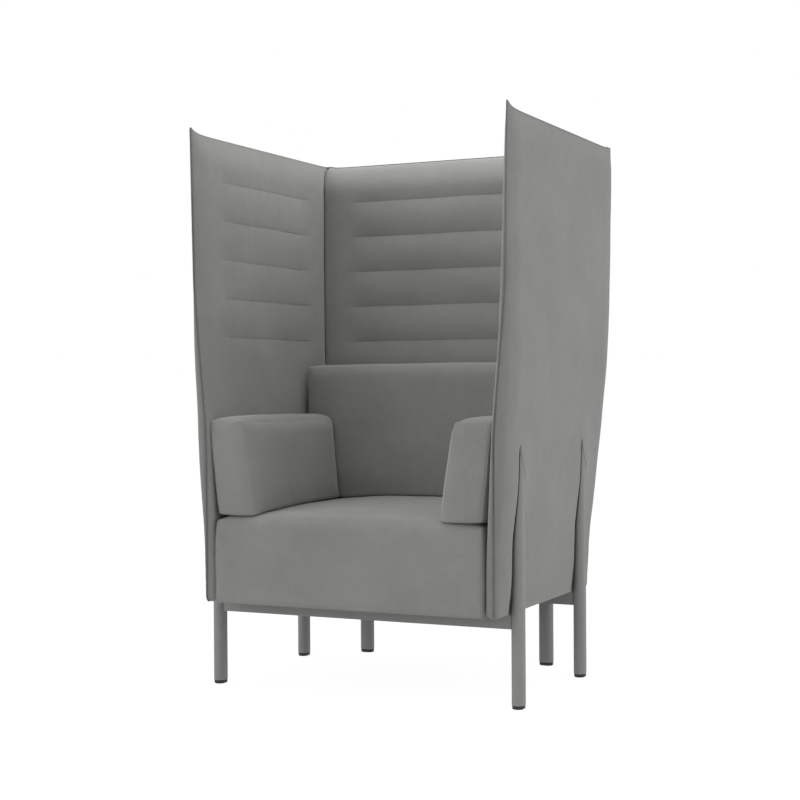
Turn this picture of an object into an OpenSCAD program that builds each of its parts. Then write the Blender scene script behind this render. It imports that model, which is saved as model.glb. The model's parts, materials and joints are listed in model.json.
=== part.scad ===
// Acoustic high back lounge chair.
// Three padded panels stand on six flat-oval legs and shelter an upholstered seat.
// Millimetres, +Z up, the chair faces -Y. The origin is on the floor, midway
// between the front of the seat and the back of the panels.

/* [Overall] */
// Depth from the front of the seat to the back of the rear panel
overall_d = 790; // [740:5:860]
// Height of the side panels at their front tips
overall_h = 1421; // [1340:1:1500]

/* [Steel frame] */
// Width of a leg tube across its flats
leg_w = 30; // [24:1:34]
// Length of the leg tube's section
leg_l = 40; // [34:1:50]
// Wall of the leg tube
leg_wall = 2.5; // [1.5:0.5:4]
// Distance from the foot of a side panel's outer face in to a back leg
back_leg_inset = 124.2; // [80:0.1:180]
// Setback of the front legs from the front of the seat
leg_setback = 108; // [90:1:130]
// Distance from the rear side legs to the back of the chair
rear_leg_setback = 234; // [220:2:260]
// Top of the side legs, inside the panels
side_leg_h = 620; // [560:5:650]
// Top of the back legs, inside the rear panel
back_leg_h = 520; // [430:5:520]
// Height of a glide below its tube
glide_h = 9; // [6:1:14]
// Top of the seat rails, which carry the seat
rail_top = 222; // [180:1:230]
// Height of a seat rail
rail_h = 34; // [25:1:45]
// Thickness of a seat rail
rail_t = 20; // [16:1:26]
// Wall of the seat rail
rail_wall = 2; // [1.5:0.5:3]

/* [Side panels] */
// Thickness of the panels' front edge at the foot
rim_foot_t = 31; // [26:1:34]
// Thickness of the panels' front edge at the tip
rim_tip_t = 6; // [4:1:12]
// Outward flare of the side panels
flare_w = 29.5; // [20:0.5:34]
// Height where the flare begins
flare_start = 345; // [300:5:400]
// Height where the flare ends
flare_end = 860; // [760:10:950]
// Outward kick of the front tips
tip_kick = 4.5; // [2:0.5:6]
// Swell of the outer padding
outer_swell = 11; // [6:1:14]
// Swell of the inner padding
inner_swell = 8; // [5:1:10]
// Rise of the front tip above the top edge
tip_rise = 15; // [5:1:20]
// Rise of the rear corners above the top edge
corner_rise = 6; // [2:1:10]

/* [Rear panel] */
// Depth that the panel leans back from foot to top
back_rise = 108; // [80:2:120]
// Height where the panel starts to lean back
lean_start = 340; // [300:5:400]
// Thickness of the panel at its top corner, outer part
back_outer_t = 18; // [14:1:24]
// Depth of the padding in front of the rear board at the foot
back_inner_t = 47; // [38:1:54]

/* [Quilting] */
// Number of sewn channels on each inner face
channel_count = 5; // [3:1:6]
// Distance from the panels' front tips down to the highest channel
channel_drop = 126; // [110:1:160]
// Distance between channels
channel_pitch = 100.5; // [80:0.5:105]
// Depth of a channel
channel_depth = 6; // [3:0.5:7]

/* [Boards] */
// Thickness of the panels' core boards
board_t = 10; // [8:1:12]
// Distance from a panel's edge to its core board
board_inset = 32; // [28:1:45]
// Thickness of the seat box boards
box_t = 22; // [16:1:28]
// Height of the seat box
box_h = 100; // [70:5:130]

/* [Seat] */
// Width of the seat
seat_w = 726; // [660:1:760]
// Distance from the seat to each side panel
seat_gap = 3; // [2.5:0.5:12]
// Height of the seat's top edge
seat_h = 441; // [400:1:470]
// Crown of the seat
seat_crown = 24; // [10:1:30]
// Rounding of the seat's edges
seat_r = 30; // [18:1:40]
// Padding over the seat box, front and sides
seat_skin = 20; // [16:1:26]
// Pitch of the webbing straps
strap_pitch = 75; // [60:5:110]
// Width of a webbing strap
strap_w = 50; // [30:5:55]

/* [Cushions] */
// Height of the back cushion's top edge
cushion_top = 827; // [740:1:850]
// Distance that the foot of the back cushion reaches behind the foot of the rear padding
cushion_tuck = 13.2; // [8:0.1:13.2]
// Thickness of the back cushion at its foot
cushion_t = 148; // [110:2:150]
// Rounding of the cushions' edges
cushion_r = 26; // [16:1:34]
// Swell of the cushions' faces
cushion_swell = 9; // [4:1:12]
// Thickness of an arm cushion at its foot
arm_t = 118; // [80:2:126]
// Thickness of an arm cushion at its top
arm_top_t = 92; // [70:2:100]
// Height of an arm cushion
arm_h = 236; // [180:2:260]
// Distance from the seat's side out to the foot of an arm cushion
arm_foot_out = 0; // [-4:1:4]
// Distance from the seat's side out to the top of an arm cushion
arm_head_out = 11; // [6:1:14]

/* [Hidden] */

// Steps of round parts and of drawn curves
fn_round = 48;
// Overrun of every cut past the face that it opens
cut = 1;
// Clearance between soft pieces and their neighbours
soft_gap = 0.4;
// Clearance between wooden parts and around bolts
fit_gap = 0.3;

fabric = [0.50, 0.50, 0.49];
fabric_dark = [0.40, 0.40, 0.39];
paint = [0.47, 0.47, 0.46];
plywood = [0.80, 0.69, 0.50];
beech = [0.74, 0.60, 0.42];
zinc = [0.72, 0.72, 0.74];
plastic = [0.10, 0.10, 0.10];
strap_colour = [0.18, 0.19, 0.18];
lining = [0.12, 0.12, 0.13];

// Places worked out from the driving sizes
front_y = -overall_d / 2;
rear_y = overall_d / 2;
leg_front_y = front_y + leg_setback;
leg_rear_y = rear_y - rear_leg_setback;
// The side panels stand beside the seat, and the side legs touch the foot of the side panels
foot_half_w = seat_w / 2 + seat_gap + rim_foot_t;
leg_x = foot_half_w + leg_w / 2;
leg_span = 2 * leg_x;
back_leg_x = foot_half_w - back_leg_inset;
// The panels' front edge stands just behind the front of the seat
nose_setback = 8;
nose_y = front_y + nose_setback;
panel_low = rail_top + soft_gap;

// Share of a rise that is straight, with soft ends
ramp_soft_share = 0.12;
function ramp(t) =
    t <= -ramp_soft_share ? 0 :
    t < ramp_soft_share ? pow(t + ramp_soft_share, 2) / (4 * ramp_soft_share) :
    t < 1 - ramp_soft_share ? t :
    t < 1 + ramp_soft_share ? 1 - pow(1 + ramp_soft_share - t, 2) / (4 * ramp_soft_share) : 1;
function quarter(t) = t >= 1 ? 1 : t <= 0 ? 0 : sqrt(1 - pow(1 - t, 2));
function pillow(t) = t >= 1 ? 1 : t <= 0 ? 0 : sin(90 * t);
function flat_share(t) = max(0, min(1, t));

// Side panel, right hand: lines that run up the panel
// Half thickness of the sewn edge
seam_t = 1;
// Height span over which the front edge tapers
taper_h = 600;
taper_tip_h = 121;
taper_end = overall_h - taper_tip_h;
taper_start = taper_end - taper_h;
// Height above which the tip kicks outward
kick_h = 221;
kick_start = overall_h - kick_h;
// The core board stands upright behind the legs and leans out above them
board_lean_start = 640;
board_tip_h = 421;
board_lean_end = overall_h - board_tip_h;
board_foot_gap = 3;
board_foot_x = foot_half_w - board_foot_gap - board_t / 2;
board_lean_w = 32;
board_tip_w = 8;

function rim_x(z) = foot_half_w
    + flare_w * ramp((z - flare_start) / (flare_end - flare_start))
    + tip_kick * pow(flat_share((z - kick_start) / (overall_h - kick_start)), 2);
function rim_t(z) = rim_foot_t
    + (rim_tip_t - rim_foot_t) * ramp((z - taper_start) / (taper_end - taper_start));
function inner_x(z) = rim_x(z) - rim_t(z);
// Behind the tapered edge the inner padding keeps at least this thickness
body_least_t = 13;
function body_extra(z) = max(0, body_least_t - rim_t(z));
function side_mid_x(z) = board_foot_x
    + board_lean_w * ramp((z - board_lean_start) / (board_lean_end - board_lean_start))
    + board_tip_w * flat_share((z - board_lean_end) / (overall_h - board_lean_end));

// Rear panel: lines that run up the panel
lean_power = 1.8;
board_power = 1.6;
// The rear board stands upright in front of the back legs and leans back above them
back_board_lean_start = back_leg_h;
// Outer corner line of the rear panel at the foot, just in front of the back legs
back_swell = 8;
back_top_y = rear_y - back_swell - back_outer_t - soft_gap / 2;
back_foot_y = back_top_y - back_rise;
back_rim_foot_t = 9;
back_rim_rise = back_rise + back_outer_t - back_rim_foot_t;
back_inner_lean = 90;
back_inner_foot_y = back_foot_y - back_inner_t;
back_leg_gap = 5;
leg_back_y = back_foot_y + board_t / 2 + back_leg_gap + leg_w / 2;

function lean_share(z, low, power) = 1 - pow(1 - flat_share((z - low) / (lean_end - low)), power);
function back_mid_y(z) = back_foot_y + back_rise * lean_share(z, back_board_lean_start, board_power);
function back_rim_y(z) = back_foot_y + back_rim_foot_t
    + back_rim_rise * lean_share(z, lean_start, lean_power);
function back_inner_y(z) = back_inner_foot_y + back_inner_lean * lean_share(z, lean_start, lean_power);

// Top edges: level, with raised front tips and rear corners
top_level = overall_h - tip_rise;
tip_reach = 22;
corner_reach = 16;
function side_top(y) = top_level
    + tip_rise * exp(-(y - nose_y) / tip_reach)
    + corner_rise * exp(-max(0, back_mid_y(overall_h) - y) / corner_reach);
function back_top(x) = top_level
    + corner_rise * exp(-max(0, side_mid_x(overall_h) - abs(x)) / corner_reach);
// Grid rows keep level and only the upper ones follow the top edge
top_follow_h = 70;
top_follow_start = top_level - top_follow_h;
function follow(z) = flat_share((z - top_follow_start) / (top_level - top_follow_start));

// Front edge with a rounded lower corner
corner_r = 15;
function nose_line(z) = nose_y + corner_r * (1 - quarter((z - panel_low) / corner_r));

// Inner corner line, where a side panel meets the rear panel
function crease_x(z) = inner_x(z) - body_extra(z) * pillow((top_level - z) / top_fade);

// Padding: how the swell fades toward the edges
edge_roll = 13;
foot_roll = 9;
front_fade = 62;
top_fade = 75;
foot_fade = 110;
corner_fade = 55;
outer_corner_fade = 30;
back_roll = 26;
seat_free_z = 430;
// The rear panel stops leaning where its padding starts to round toward the top edge
lean_end = top_level - top_fade;
swell_rise = 200;

// Quilted area of the inner faces
channel_start = 148;
channel_stop = 190;
back_channel_inset = 38;
back_channel_half = seat_w / 2 - back_channel_inset;
channel_fade = 26;
channel_half_w = 16;
channel_puff = 2;
channel_low = overall_h - channel_drop - (channel_count - 1) * channel_pitch;
function channel_z(i) = channel_low + i * channel_pitch;
function channel_near(z) = round(flat_share((z - channel_low) / (channel_pitch * (channel_count - 1)))
    * (channel_count - 1));
function channel_cut(z) = max(0, 1 - abs(z - channel_z(channel_near(z))) / channel_half_w);
function in_quilt(z) = z > channel_low - channel_pitch / 2
    && z < channel_z(channel_count - 1) + channel_pitch / 2;
function quilt(z, along) = in_quilt(z) ?
    pillow(along) * (channel_puff - (channel_depth + channel_puff) * channel_cut(z)) : 0;

function side_outer_x(y, z) = side_mid_x(z) + seam_t
    + (rim_x(z) - side_mid_x(z) - seam_t) * quarter((y - nose_line(z)) / edge_roll)
        * quarter((z - panel_low) / foot_roll)
    + outer_swell * pillow((y - nose_y) / front_fade) * pillow((z - panel_low) / foot_fade)
        * pillow((side_top(y) - z) / top_fade) * pillow((back_rim_y(z) - y) / outer_corner_fade);

function side_swell(z) = inner_swell * ramp((z - seat_free_z) / swell_rise);
function side_quilt_share(y) = min((y - front_y - channel_start) / channel_fade,
    (rear_y - channel_stop - y) / channel_fade);
function side_inner_x(y, z) = side_mid_x(z) - seam_t
    - (side_mid_x(z) - inner_x(z) - seam_t) * quarter((y - nose_line(z)) / edge_roll)
        * quarter((z - panel_low) / foot_roll)
    - (body_extra(z) + side_swell(z) * pillow((back_inner_y(z) - y) / corner_fade))
        * pillow((y - nose_y) / front_fade) * pillow((side_top(y) - z) / top_fade)
    - quilt(z, side_quilt_share(y));

function back_outer_y(x, z) = back_mid_y(z) + seam_t
    + (back_rim_y(z) - back_mid_y(z) - seam_t) * quarter((z - panel_low) / foot_roll)
        * quarter((back_top(x) - z) / back_roll)
    + back_swell * pillow((rim_x(z) - abs(x)) / outer_corner_fade) * pillow((z - panel_low) / foot_fade)
        * pillow((back_top(x) - z) / top_fade);
function back_quilt_share(x) = (back_channel_half - abs(x)) / channel_fade;
function back_inner_face_y(x, z) = back_mid_y(z) - seam_t
    - (back_mid_y(z) - back_inner_y(z) - seam_t) * quarter((z - panel_low) / foot_roll)
        * quarter((back_top(x) - z) / back_roll)
    - side_swell(z) * pillow((crease_x(z) - abs(x)) / corner_fade)
        * pillow((back_top(x) - z) / top_fade)
    - quilt(z, back_quilt_share(x));

// Rows of the padding grids, from the foot to the top
row_roll_shares = [0, 0.12, 0.5, 1];
row_top_shares = [1, 0.6, 0.3, 0.1, 0];
outer_row_count = 12;
function foot_rows() = [for (s = row_roll_shares) panel_low + s * foot_roll];
function top_rows() = [for (s = row_top_shares) top_level - s * top_fade];
function plain_rows(low, high, n) = [for (i = [1 : n]) low + (high - low) * i / (n + 1)];
outer_rows = concat(foot_rows(),
    plain_rows(panel_low + foot_roll, top_level - top_fade, outer_row_count), top_rows());
channel_row_shares = [-1, 0, 1];
quilt_low = channel_low - channel_half_w;
lower_row_count = 6;
channel_top = channel_z(channel_count - 1) + channel_half_w;
inner_rows = concat(foot_rows(),
    plain_rows(panel_low + foot_roll, quilt_low, lower_row_count),
    [for (i = [0 : channel_count - 1], s = channel_row_shares) channel_z(i) + s * channel_half_w],
    [for (s = row_top_shares) top_level - s * (top_level - channel_top - channel_half_w)]);

// Columns of the side padding: distances from the front edge, then shares up to the rear corner
nose_column_shares = [0, 0.13, 0.5, 1];
nose_columns = [for (s = nose_column_shares) s * edge_roll];
fade_column_share = 0.6;
fade_column = front_fade * fade_column_share;
side_column_shares = [0.32, 0.5, 0.68];
// Near the rear corner the columns close up, as shares of the corner's fade
rear_column_shares = [1.2, 0.8, 0.4];
function side_columns(rear, z) = let (start = nose_line(z)) concat(
    [for (d = nose_columns) start + d],
    [start + fade_column, front_y + channel_start, front_y + channel_start + channel_fade],
    [for (s = side_column_shares) start + s * (rear - start)],
    [min(rear_y - channel_stop - channel_fade, rear - rear_column_shares[0] * corner_fade),
     min(rear_y - channel_stop, rear - rear_column_shares[1] * corner_fade),
     rear - rear_column_shares[2] * corner_fade, rear]);
back_column_shares = [0.6, 0.3];
corner_column_share = 0.22;
function back_half_columns(half) = concat(
    [half, half - corner_column_share * corner_fade, half - corner_fade / 2],
    [back_channel_half, back_channel_half - channel_fade],
    [for (s = back_column_shares) s * back_channel_half]);
function back_columns(half) = let (c = back_half_columns(half)) concat(
    [for (x = c) -x], [0], [for (i = [len(c) - 1 : -1 : 0]) c[i]]);

// A padding solid: a grid of face points closed against a ruled strip behind it
function pad_faces(rows, cols) =
    let (n = rows * cols, f = function (r, c) r * cols + c,
         a = function (r) n + r, b = function (r) n + rows + r)
    concat(
        [for (r = [0 : rows - 2], c = [0 : cols - 2]) each [
            [f(r, c), f(r, c + 1), f(r + 1, c + 1)], [f(r, c), f(r + 1, c + 1), f(r + 1, c)]]],
        [for (r = [0 : rows - 2]) each [
            [a(r), a(r + 1), b(r + 1)], [a(r), b(r + 1), b(r)],
            [f(r, 0), f(r + 1, 0), a(r + 1)], [f(r, 0), a(r + 1), a(r)],
            [f(r, cols - 1), b(r + 1), f(r + 1, cols - 1)],
            [f(r, cols - 1), b(r), b(r + 1)]]],
        [for (c = [0 : cols - 2]) each [
            [f(0, c + 1), f(0, c), a(0)], [f(rows - 1, c), f(rows - 1, c + 1), a(rows - 1)]]],
        [[a(0), b(0), f(0, cols - 1)], [a(rows - 1), f(rows - 1, cols - 1), b(rows - 1)]]);

module pad_solid(face, edge_a, edge_b, flip) {
    rows = len(face);
    cols = len(face[0]);
    faces = pad_faces(rows, cols);
    points = concat([for (row = face) each row], edge_a, edge_b);
    polyhedron(points, flip ? faces : [for (t = faces) [t[2], t[1], t[0]]]);
}

// Outer corner where a side panel's padding meets the rear one: both roll in at the foot and
// the rear one at its top too
function corner_roll(z) = quarter((z - panel_low) / foot_roll);
function corner_y(z) = back_mid_y(z) + seam_t + (back_rim_y(z) - back_mid_y(z) - seam_t) * corner_roll(z);
function corner_x(z) = side_mid_x(z)
    + (rim_x(z) - side_mid_x(z)) * corner_roll(z) * quarter((top_level - z) / back_roll);

// The strip behind a pad stays clear of the opposite pad and below the dips of the top edge
strip_gap = 0.8;
strip_drop = 20;
strip_top = top_level - strip_drop;
strip_squeeze_share = 0.1;
function strip_z(z) = z <= strip_top ? z : strip_top + (z - strip_top) * strip_squeeze_share;
function lifted(z, top) = z + (top - top_level) * follow(z);

module side_pad(rows, outer) {
    rear = function (z) (outer ? corner_y(z) : back_inner_y(z)) - soft_gap / 2;
    face = [for (z = rows) [for (y = side_columns(rear(z), z))
        let (h = lifted(z, side_top(y)))
        [(outer ? side_outer_x(y, h) + soft_gap / 2 : side_inner_x(y, h) - soft_gap / 2), y, h]]];
    strip_x = function (z) side_mid_x(z) + (outer ? strip_gap : -strip_gap);
    front = [for (z = rows) [strip_x(strip_z(z)), nose_line(z), strip_z(z)]];
    back = [for (z = rows) [strip_x(strip_z(z)), back_mid_y(strip_z(z)) - soft_gap / 2, strip_z(z)]];
    pad_solid(face, front, back, !outer);
}

module back_pad(rows, outer) {
    half = function (z) (outer ? corner_x(z) : crease_x(z)) - soft_gap;
    face = [for (z = rows) [for (x = back_columns(half(z)))
        let (h = lifted(z, back_top(x)))
        [x, (outer ? back_outer_y(x, h) + soft_gap / 2 : back_inner_face_y(x, h) - soft_gap / 2), h]]];
    strip_y = function (z) back_mid_y(z) + (outer ? strip_gap : -strip_gap);
    edge = function (side) [for (z = rows) let (h = strip_z(z))
        [side * (side_mid_x(h) - strip_gap - soft_gap), strip_y(h), h]];
    pad_solid(face, edge(-1), edge(1), outer);
}

// Flat-oval tube section: two circles joined by a rectangle, long along Y
module oval(w, l) {
    straight = l - w;
    square([w, straight], center = true);
    for (s = [-1, 1])
        translate([0, s * straight / 2])
            circle(d = w, $fn = fn_round);
}

module leg_body(w, l, low, high) {
    translate([0, 0, low])
        linear_extrude(high - low)
            oval(w, l);
}

// Distance of the lower bolt above its board's edge, and of the upper one below the leg's top
bolt_edge = 40;
bolt_drop = 120;
function bolt_heights(h) = [panel_low + board_inset + bolt_edge, h - bolt_drop];
bolt_r = 4;
bolt_head_r = 6.5;
bolt_head_h = 5;
bolt_grip = 10;
nut_r = 6.5;
nut_l = 9;
spacer_r = 10;
thread_gap = 0.03;

// Along +X from the axis of the tube's inner face, at each bolt height
module at_bolts(h) {
    for (z = bolt_heights(h))
        translate([0, 0, z])
            rotate([0, 90, 0])
                children();
}

module leg(h) {
    difference() {
        leg_body(leg_w, leg_l, glide_h, h);
        leg_body(leg_w - 2 * leg_wall, leg_l - 2 * leg_wall, glide_h - cut, h + cut);
        translate([-leg_w / 2 - cut, 0, 0])
            at_bolts(h)
                cylinder(r = bolt_r + fit_gap, h = leg_wall + 2 * cut, $fn = fn_round);
    }
}

// Places of the six legs: each turns so that its flat side faces its board
module at_side_leg(side, y) {
    if (side > 0) translate([leg_x, y, 0]) children();
    else mirror([1, 0, 0]) translate([leg_x, y, 0]) children();
}

module at_back_leg(side) {
    translate([side * back_leg_x, leg_back_y, 0])
        rotate([0, 0, 90])
            children();
}

module at_all_legs() {
    for (side = [-1, 1]) {
        for (y = [leg_front_y, leg_rear_y])
            at_side_leg(side, y)
                children(0);
        at_back_leg(side)
            children(1);
    }
}

module leg_front_left() { color(paint) at_side_leg(-1, leg_front_y) leg(side_leg_h); }
module leg_front_right() { color(paint) at_side_leg(1, leg_front_y) leg(side_leg_h); }
module leg_rear_left() { color(paint) at_side_leg(-1, leg_rear_y) leg(side_leg_h); }
module leg_rear_right() { color(paint) at_side_leg(1, leg_rear_y) leg(side_leg_h); }
module leg_back_left() { color(paint) at_back_leg(-1) leg(back_leg_h); }
module leg_back_right() { color(paint) at_back_leg(1) leg(back_leg_h); }

// Glide: a foot below the tube and a plug inside it
glide_rim = 1;
glide_plug_h = 18;
glide_chamfer = 1.5;
module glide() {
    foot_w = leg_w - 2 * glide_rim;
    foot_l = leg_l - 2 * glide_rim;
    leg_body(foot_w - 2 * glide_chamfer, foot_l - 2 * glide_chamfer, 0, glide_h);
    leg_body(foot_w, foot_l, glide_chamfer, glide_h);
    leg_body(leg_w - 2 * leg_wall - 2 * fit_gap, leg_l - 2 * leg_wall - 2 * fit_gap,
        glide_chamfer, glide_h + glide_plug_h);
}

module glides() {
    color(plastic)
        at_all_legs() {
            glide();
            glide();
        }
}

// Seat rails run between the side legs, welded to their flat sides
module rail(y) {
    half = leg_x - leg_w / 2;
    translate([0, y, rail_top - rail_h / 2])
        difference() {
            cube([2 * half, rail_t, rail_h], center = true);
            cube([2 * half + 2 * cut, rail_t - 2 * rail_wall, rail_h - 2 * rail_wall], center = true);
        }
}

module rail_front() { color(paint) rail(leg_front_y); }
module rail_rear() { color(paint) rail(leg_rear_y); }

// Seat box and what carries it
lining_t = 1;
box_low = rail_top + lining_t;
box_top = box_low + box_h;
box_half_w = seat_w / 2 - seat_skin;
box_front_extra = 6;
box_front = front_y + seat_skin + box_front_extra;
box_rear = back_inner_foot_y - seat_skin;
bracket_t = 4;
bracket_w = 40;
bracket_l = 34;
screw_r = 2.5;
screw_head_r = 5;
screw_head_h = 3;
screw_bite = 22;
bracket_x = box_half_w - box_t / 2;

// The four brackets sit on the inner sides of the two rails
module at_brackets() {
    for (side = [-1, 1], end = [0, 1])
        translate([side * bracket_x,
            end == 0 ? leg_front_y + rail_t / 2 : leg_rear_y - rail_t / 2, rail_top])
            rotate([0, 0, end == 0 ? 0 : 180])
                children();
}

bracket_rib_h = 18;
bracket_hole_share = 0.62;
module seat_brackets() {
    color(paint)
        at_brackets()
            difference() {
                union() {
                    translate([-bracket_w / 2, 0, -bracket_t])
                        cube([bracket_w, bracket_l, bracket_t]);
                    translate([-bracket_w / 2, 0, -bracket_rib_h])
                        cube([bracket_w, bracket_t, bracket_rib_h]);
                }
                translate([0, bracket_l * bracket_hole_share, -bracket_t - cut])
                    cylinder(r = screw_r + fit_gap, h = bracket_t + 2 * cut, $fn = fn_round);
            }
}

module seat_screw(extra) {
    translate([0, bracket_l * bracket_hole_share, -bracket_t - screw_head_h])
        cylinder(r = screw_head_r, h = screw_head_h, $fn = fn_round);
    translate([0, bracket_l * bracket_hole_share, -bracket_t - screw_head_h])
        cylinder(r = screw_r + extra, h = screw_head_h + bracket_t + lining_t + screw_bite + extra,
            $fn = fn_round);
}

module seat_screws() { color(zinc) at_brackets() seat_screw(0); }

module seat_box() {
    length = box_rear - box_front;
    color(beech)
        difference() {
            union() {
                for (y = [box_front, (box_front + box_rear - box_t) / 2, box_rear - box_t])
                    translate([-box_half_w, y, box_low])
                        cube([2 * box_half_w, box_t, box_h]);
                for (side = [-1, 1])
                    translate([side * bracket_x - box_t / 2, box_front, box_low])
                        cube([box_t, length, box_h]);
            }
            at_brackets() seat_screw(fit_gap);
        }
}

module dust_cover() {
    color(lining)
        difference() {
            translate([-box_half_w, box_front, rail_top])
                cube([2 * box_half_w, box_rear - box_front, lining_t]);
            at_brackets() seat_screw(fit_gap);
        }
}

// Woven straps over the seat box: one layer across, one along on top of it
strap_t = 2.5;
function strap_places(span) = let (n = floor((span - strap_w) / strap_pitch))
    [for (i = [0 : n]) (i - n / 2) * strap_pitch];
module webbing_across() {
    mid = (box_front + box_rear) / 2;
    color(strap_colour)
        for (y = strap_places(box_rear - box_front))
            translate([-box_half_w, mid + y - strap_w / 2, box_top])
                cube([2 * box_half_w, strap_w, strap_t]);
}

module webbing_along() {
    color(strap_colour)
        for (x = strap_places(2 * box_half_w))
            translate([x - strap_w / 2, box_front, box_top + strap_t])
                cube([strap_w, box_rear - box_front, strap_t]);
}

// Cushion solid: a rounded box whose faces swell and whose seams draw in. Rings run
// along X; crown_mid is the share along Y where the top stays full. The lower edges have
// their own rounding, and rake leans the end at -X outward.
ring_end_angles = [0, 35, 70];
ring_mid_shares = [-0.66, -0.33, 0, 0.33, 0.66];
arc_angles = [0, 45, 90];
face_shares = [0.5, 0, -0.5];
cap_share = 0.5;

function box_section(hy, hz, r, low_r, end) = [for (k = [0 : 3]) each let (
        sy = (k == 0 || k == 3) ? 1 : -1, sz = k < 2 ? 1 : -1, rk = k < 2 ? r : low_r,
        rho = rk * end, reach = hy - r + r * end, py = reach - rho, pz = hz - rk)
    concat(
        [for (b = arc_angles) [sy * py + rho * cos(90 * k + b), sz * pz + rho * sin(90 * k + b)]],
        [for (s = face_shares)
            k == 0 ? [s * (hy - r), pz + rho] : k == 1 ? [-reach, s * (hz - r)] :
            k == 2 ? [-s * (hy - r), -pz - rho] : [reach, -s * (hz - r)]])];

function puff(p, half, hi, lo, draw, crown_mid) =
    let (a = p[0] / half[0], b = p[1] / half[1], c = p[2] / half[2],
         bt = b < crown_mid ? (b - crown_mid) / (1 + crown_mid) : 0,
         ea = 1 - a * a, eb = 1 - b * b, ec = 1 - c * c,
         eby = crown_mid == 0 ? eb : 1 - bt * bt,
         wx = draw * pow(b * c, 4) * ea, wy = draw * pow(a * c, 4) * eb, wz = draw * pow(a * b, 4) * ec)
    [p[0] + sign(a) * ((a > 0 ? hi[0] : lo[0]) * abs(a) * eb * ec - wy - wz),
     p[1] + sign(b) * ((b > 0 ? hi[1] : lo[1]) * abs(b) * ea * ec - wx - wz),
     p[2] + sign(c) * ((c > 0 ? hi[2] : lo[2]) * abs(c) * ea * eby - wx - wy)];

module cushion(half, r, low_r, hi, lo, draw, crown_mid = 0, lean = 0, taper = 0, rake = 0) {
    rings = concat(
        [for (i = [len(ring_end_angles) - 1 : -1 : 0]) [-1, ring_end_angles[i]]],
        [for (s = ring_mid_shares) [s, 0]], [for (t = ring_end_angles) [1, t]]);
    section = function (t) box_section(half[1], half[2], r, low_r, cos(t));
    body = [for (g = rings) [for (q = section(g[1]))
        [g[0] * (half[0] - r) + (abs(g[0]) == 1 ? g[0] * r * sin(g[1]) : 0), q[0], q[1]]]];
    m = len(body[0]);
    n = len(body);
    caps = [for (s = [-1, 1]) [for (q = section(ring_end_angles[2]))
        [s * half[0], cap_share * q[0], cap_share * q[1]]]];
    flat = concat([for (ring = body) each ring], caps[0], caps[1], [[-half[0], 0, 0], [half[0], 0, 0]]);
    shaped = [for (p = flat) let (q = puff(p, half, hi, lo, draw, crown_mid),
            up = (q[2] + half[2]) / (2 * half[2]))
        [q[0] - rake * (q[2] + half[2]) * (half[0] - q[0]) / (2 * half[0]),
            q[1] * (1 - taper * up) + lean * (q[2] + half[2]), q[2]]];
    low_cap = n * m;
    high_cap = low_cap + m;
    low_tip = high_cap + m;
    faces = concat(
        [for (i = [0 : n - 2], j = [0 : m - 1]) each let (k = (j + 1) % m) [
            [i * m + j, (i + 1) * m + j, (i + 1) * m + k], [i * m + j, (i + 1) * m + k, i * m + k]]],
        [for (j = [0 : m - 1]) each let (k = (j + 1) % m) [
            [low_cap + j, j, k], [low_cap + j, k, low_cap + k], [low_tip, low_cap + j, low_cap + k],
            [(n - 1) * m + j, high_cap + j, high_cap + k], [(n - 1) * m + j, high_cap + k, (n - 1) * m + k],
            [low_tip + 1, high_cap + k, high_cap + j]]]);
    polyhedron(shaped, faces);
}

// Seat: the cover and foam wrap over the seat box
seat_front_swell = 3;
seat_side_swell = 2;
seat_draw = 3;
seat_low_r = 7;
seat_crown_mid_share = 0.25;
seat_rear_gap = 2;
seat_rear = back_inner_foot_y - seat_rear_gap;
seat_front = front_y + seat_front_swell;
seat_low = rail_top + soft_gap;
strap_room = 2 * strap_t + soft_gap;
module seat_cushion() {
    depth = seat_rear - seat_front;
    color(fabric)
        difference() {
            translate([0, (seat_front + seat_rear) / 2, (seat_low + seat_h) / 2])
                cushion([seat_w / 2, depth / 2, (seat_h - seat_low) / 2], seat_r, seat_low_r,
                    [seat_side_swell, 0, seat_crown], [seat_side_swell, seat_front_swell, 0],
                    seat_draw, seat_crown_mid_share);
            translate([-box_half_w - soft_gap, box_front - soft_gap, seat_low - cut - strap_t])
                cube([2 * (box_half_w + soft_gap), box_rear - box_front + 2 * soft_gap,
                    box_top + strap_room - seat_low + cut + strap_t]);
        }
}

// Back cushion: stands on the seat and leans against the rear panel
cushion_lean = 0.085;
cushion_widening = 0.06;
cushion_draw = 4;
seat_peak = seat_h + seat_crown;
cushion_foot_y = back_inner_foot_y + cushion_tuck - cushion_t;
module back_cushion() {
    low = seat_peak - seat_draw / 2 + soft_gap / 2;
    high = cushion_top;
    color(fabric)
        translate([0, cushion_foot_y + cushion_t / 2, (low + high) / 2])
            cushion([seat_w / 2, cushion_t / 2, (high - low) / 2], cushion_r, cushion_r,
                [0, 0, cushion_swell / 2], [0, cushion_swell / 2, 0], cushion_draw, 0,
                cushion_lean, -cushion_widening);
}

// Arm cushions: loose, each stands on the seat between the back cushion and the open front
arm_front_gap = 4;
arm_draw = 4;
arm_rear_gap = 1;
arm_rear = cushion_foot_y - cushion_swell / 2 - arm_rear_gap;
arm_front = nose_y + arm_front_gap;
arm_foot_x = seat_w / 2 + arm_foot_out;
arm_head_x = seat_w / 2 + arm_head_out;
// The seat's crown under the inner edge of an arm cushion sets its height
arm_inner_share = (arm_foot_x - arm_t + cushion_r) / (seat_w / 2);
arm_rake = 0.06;
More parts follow.
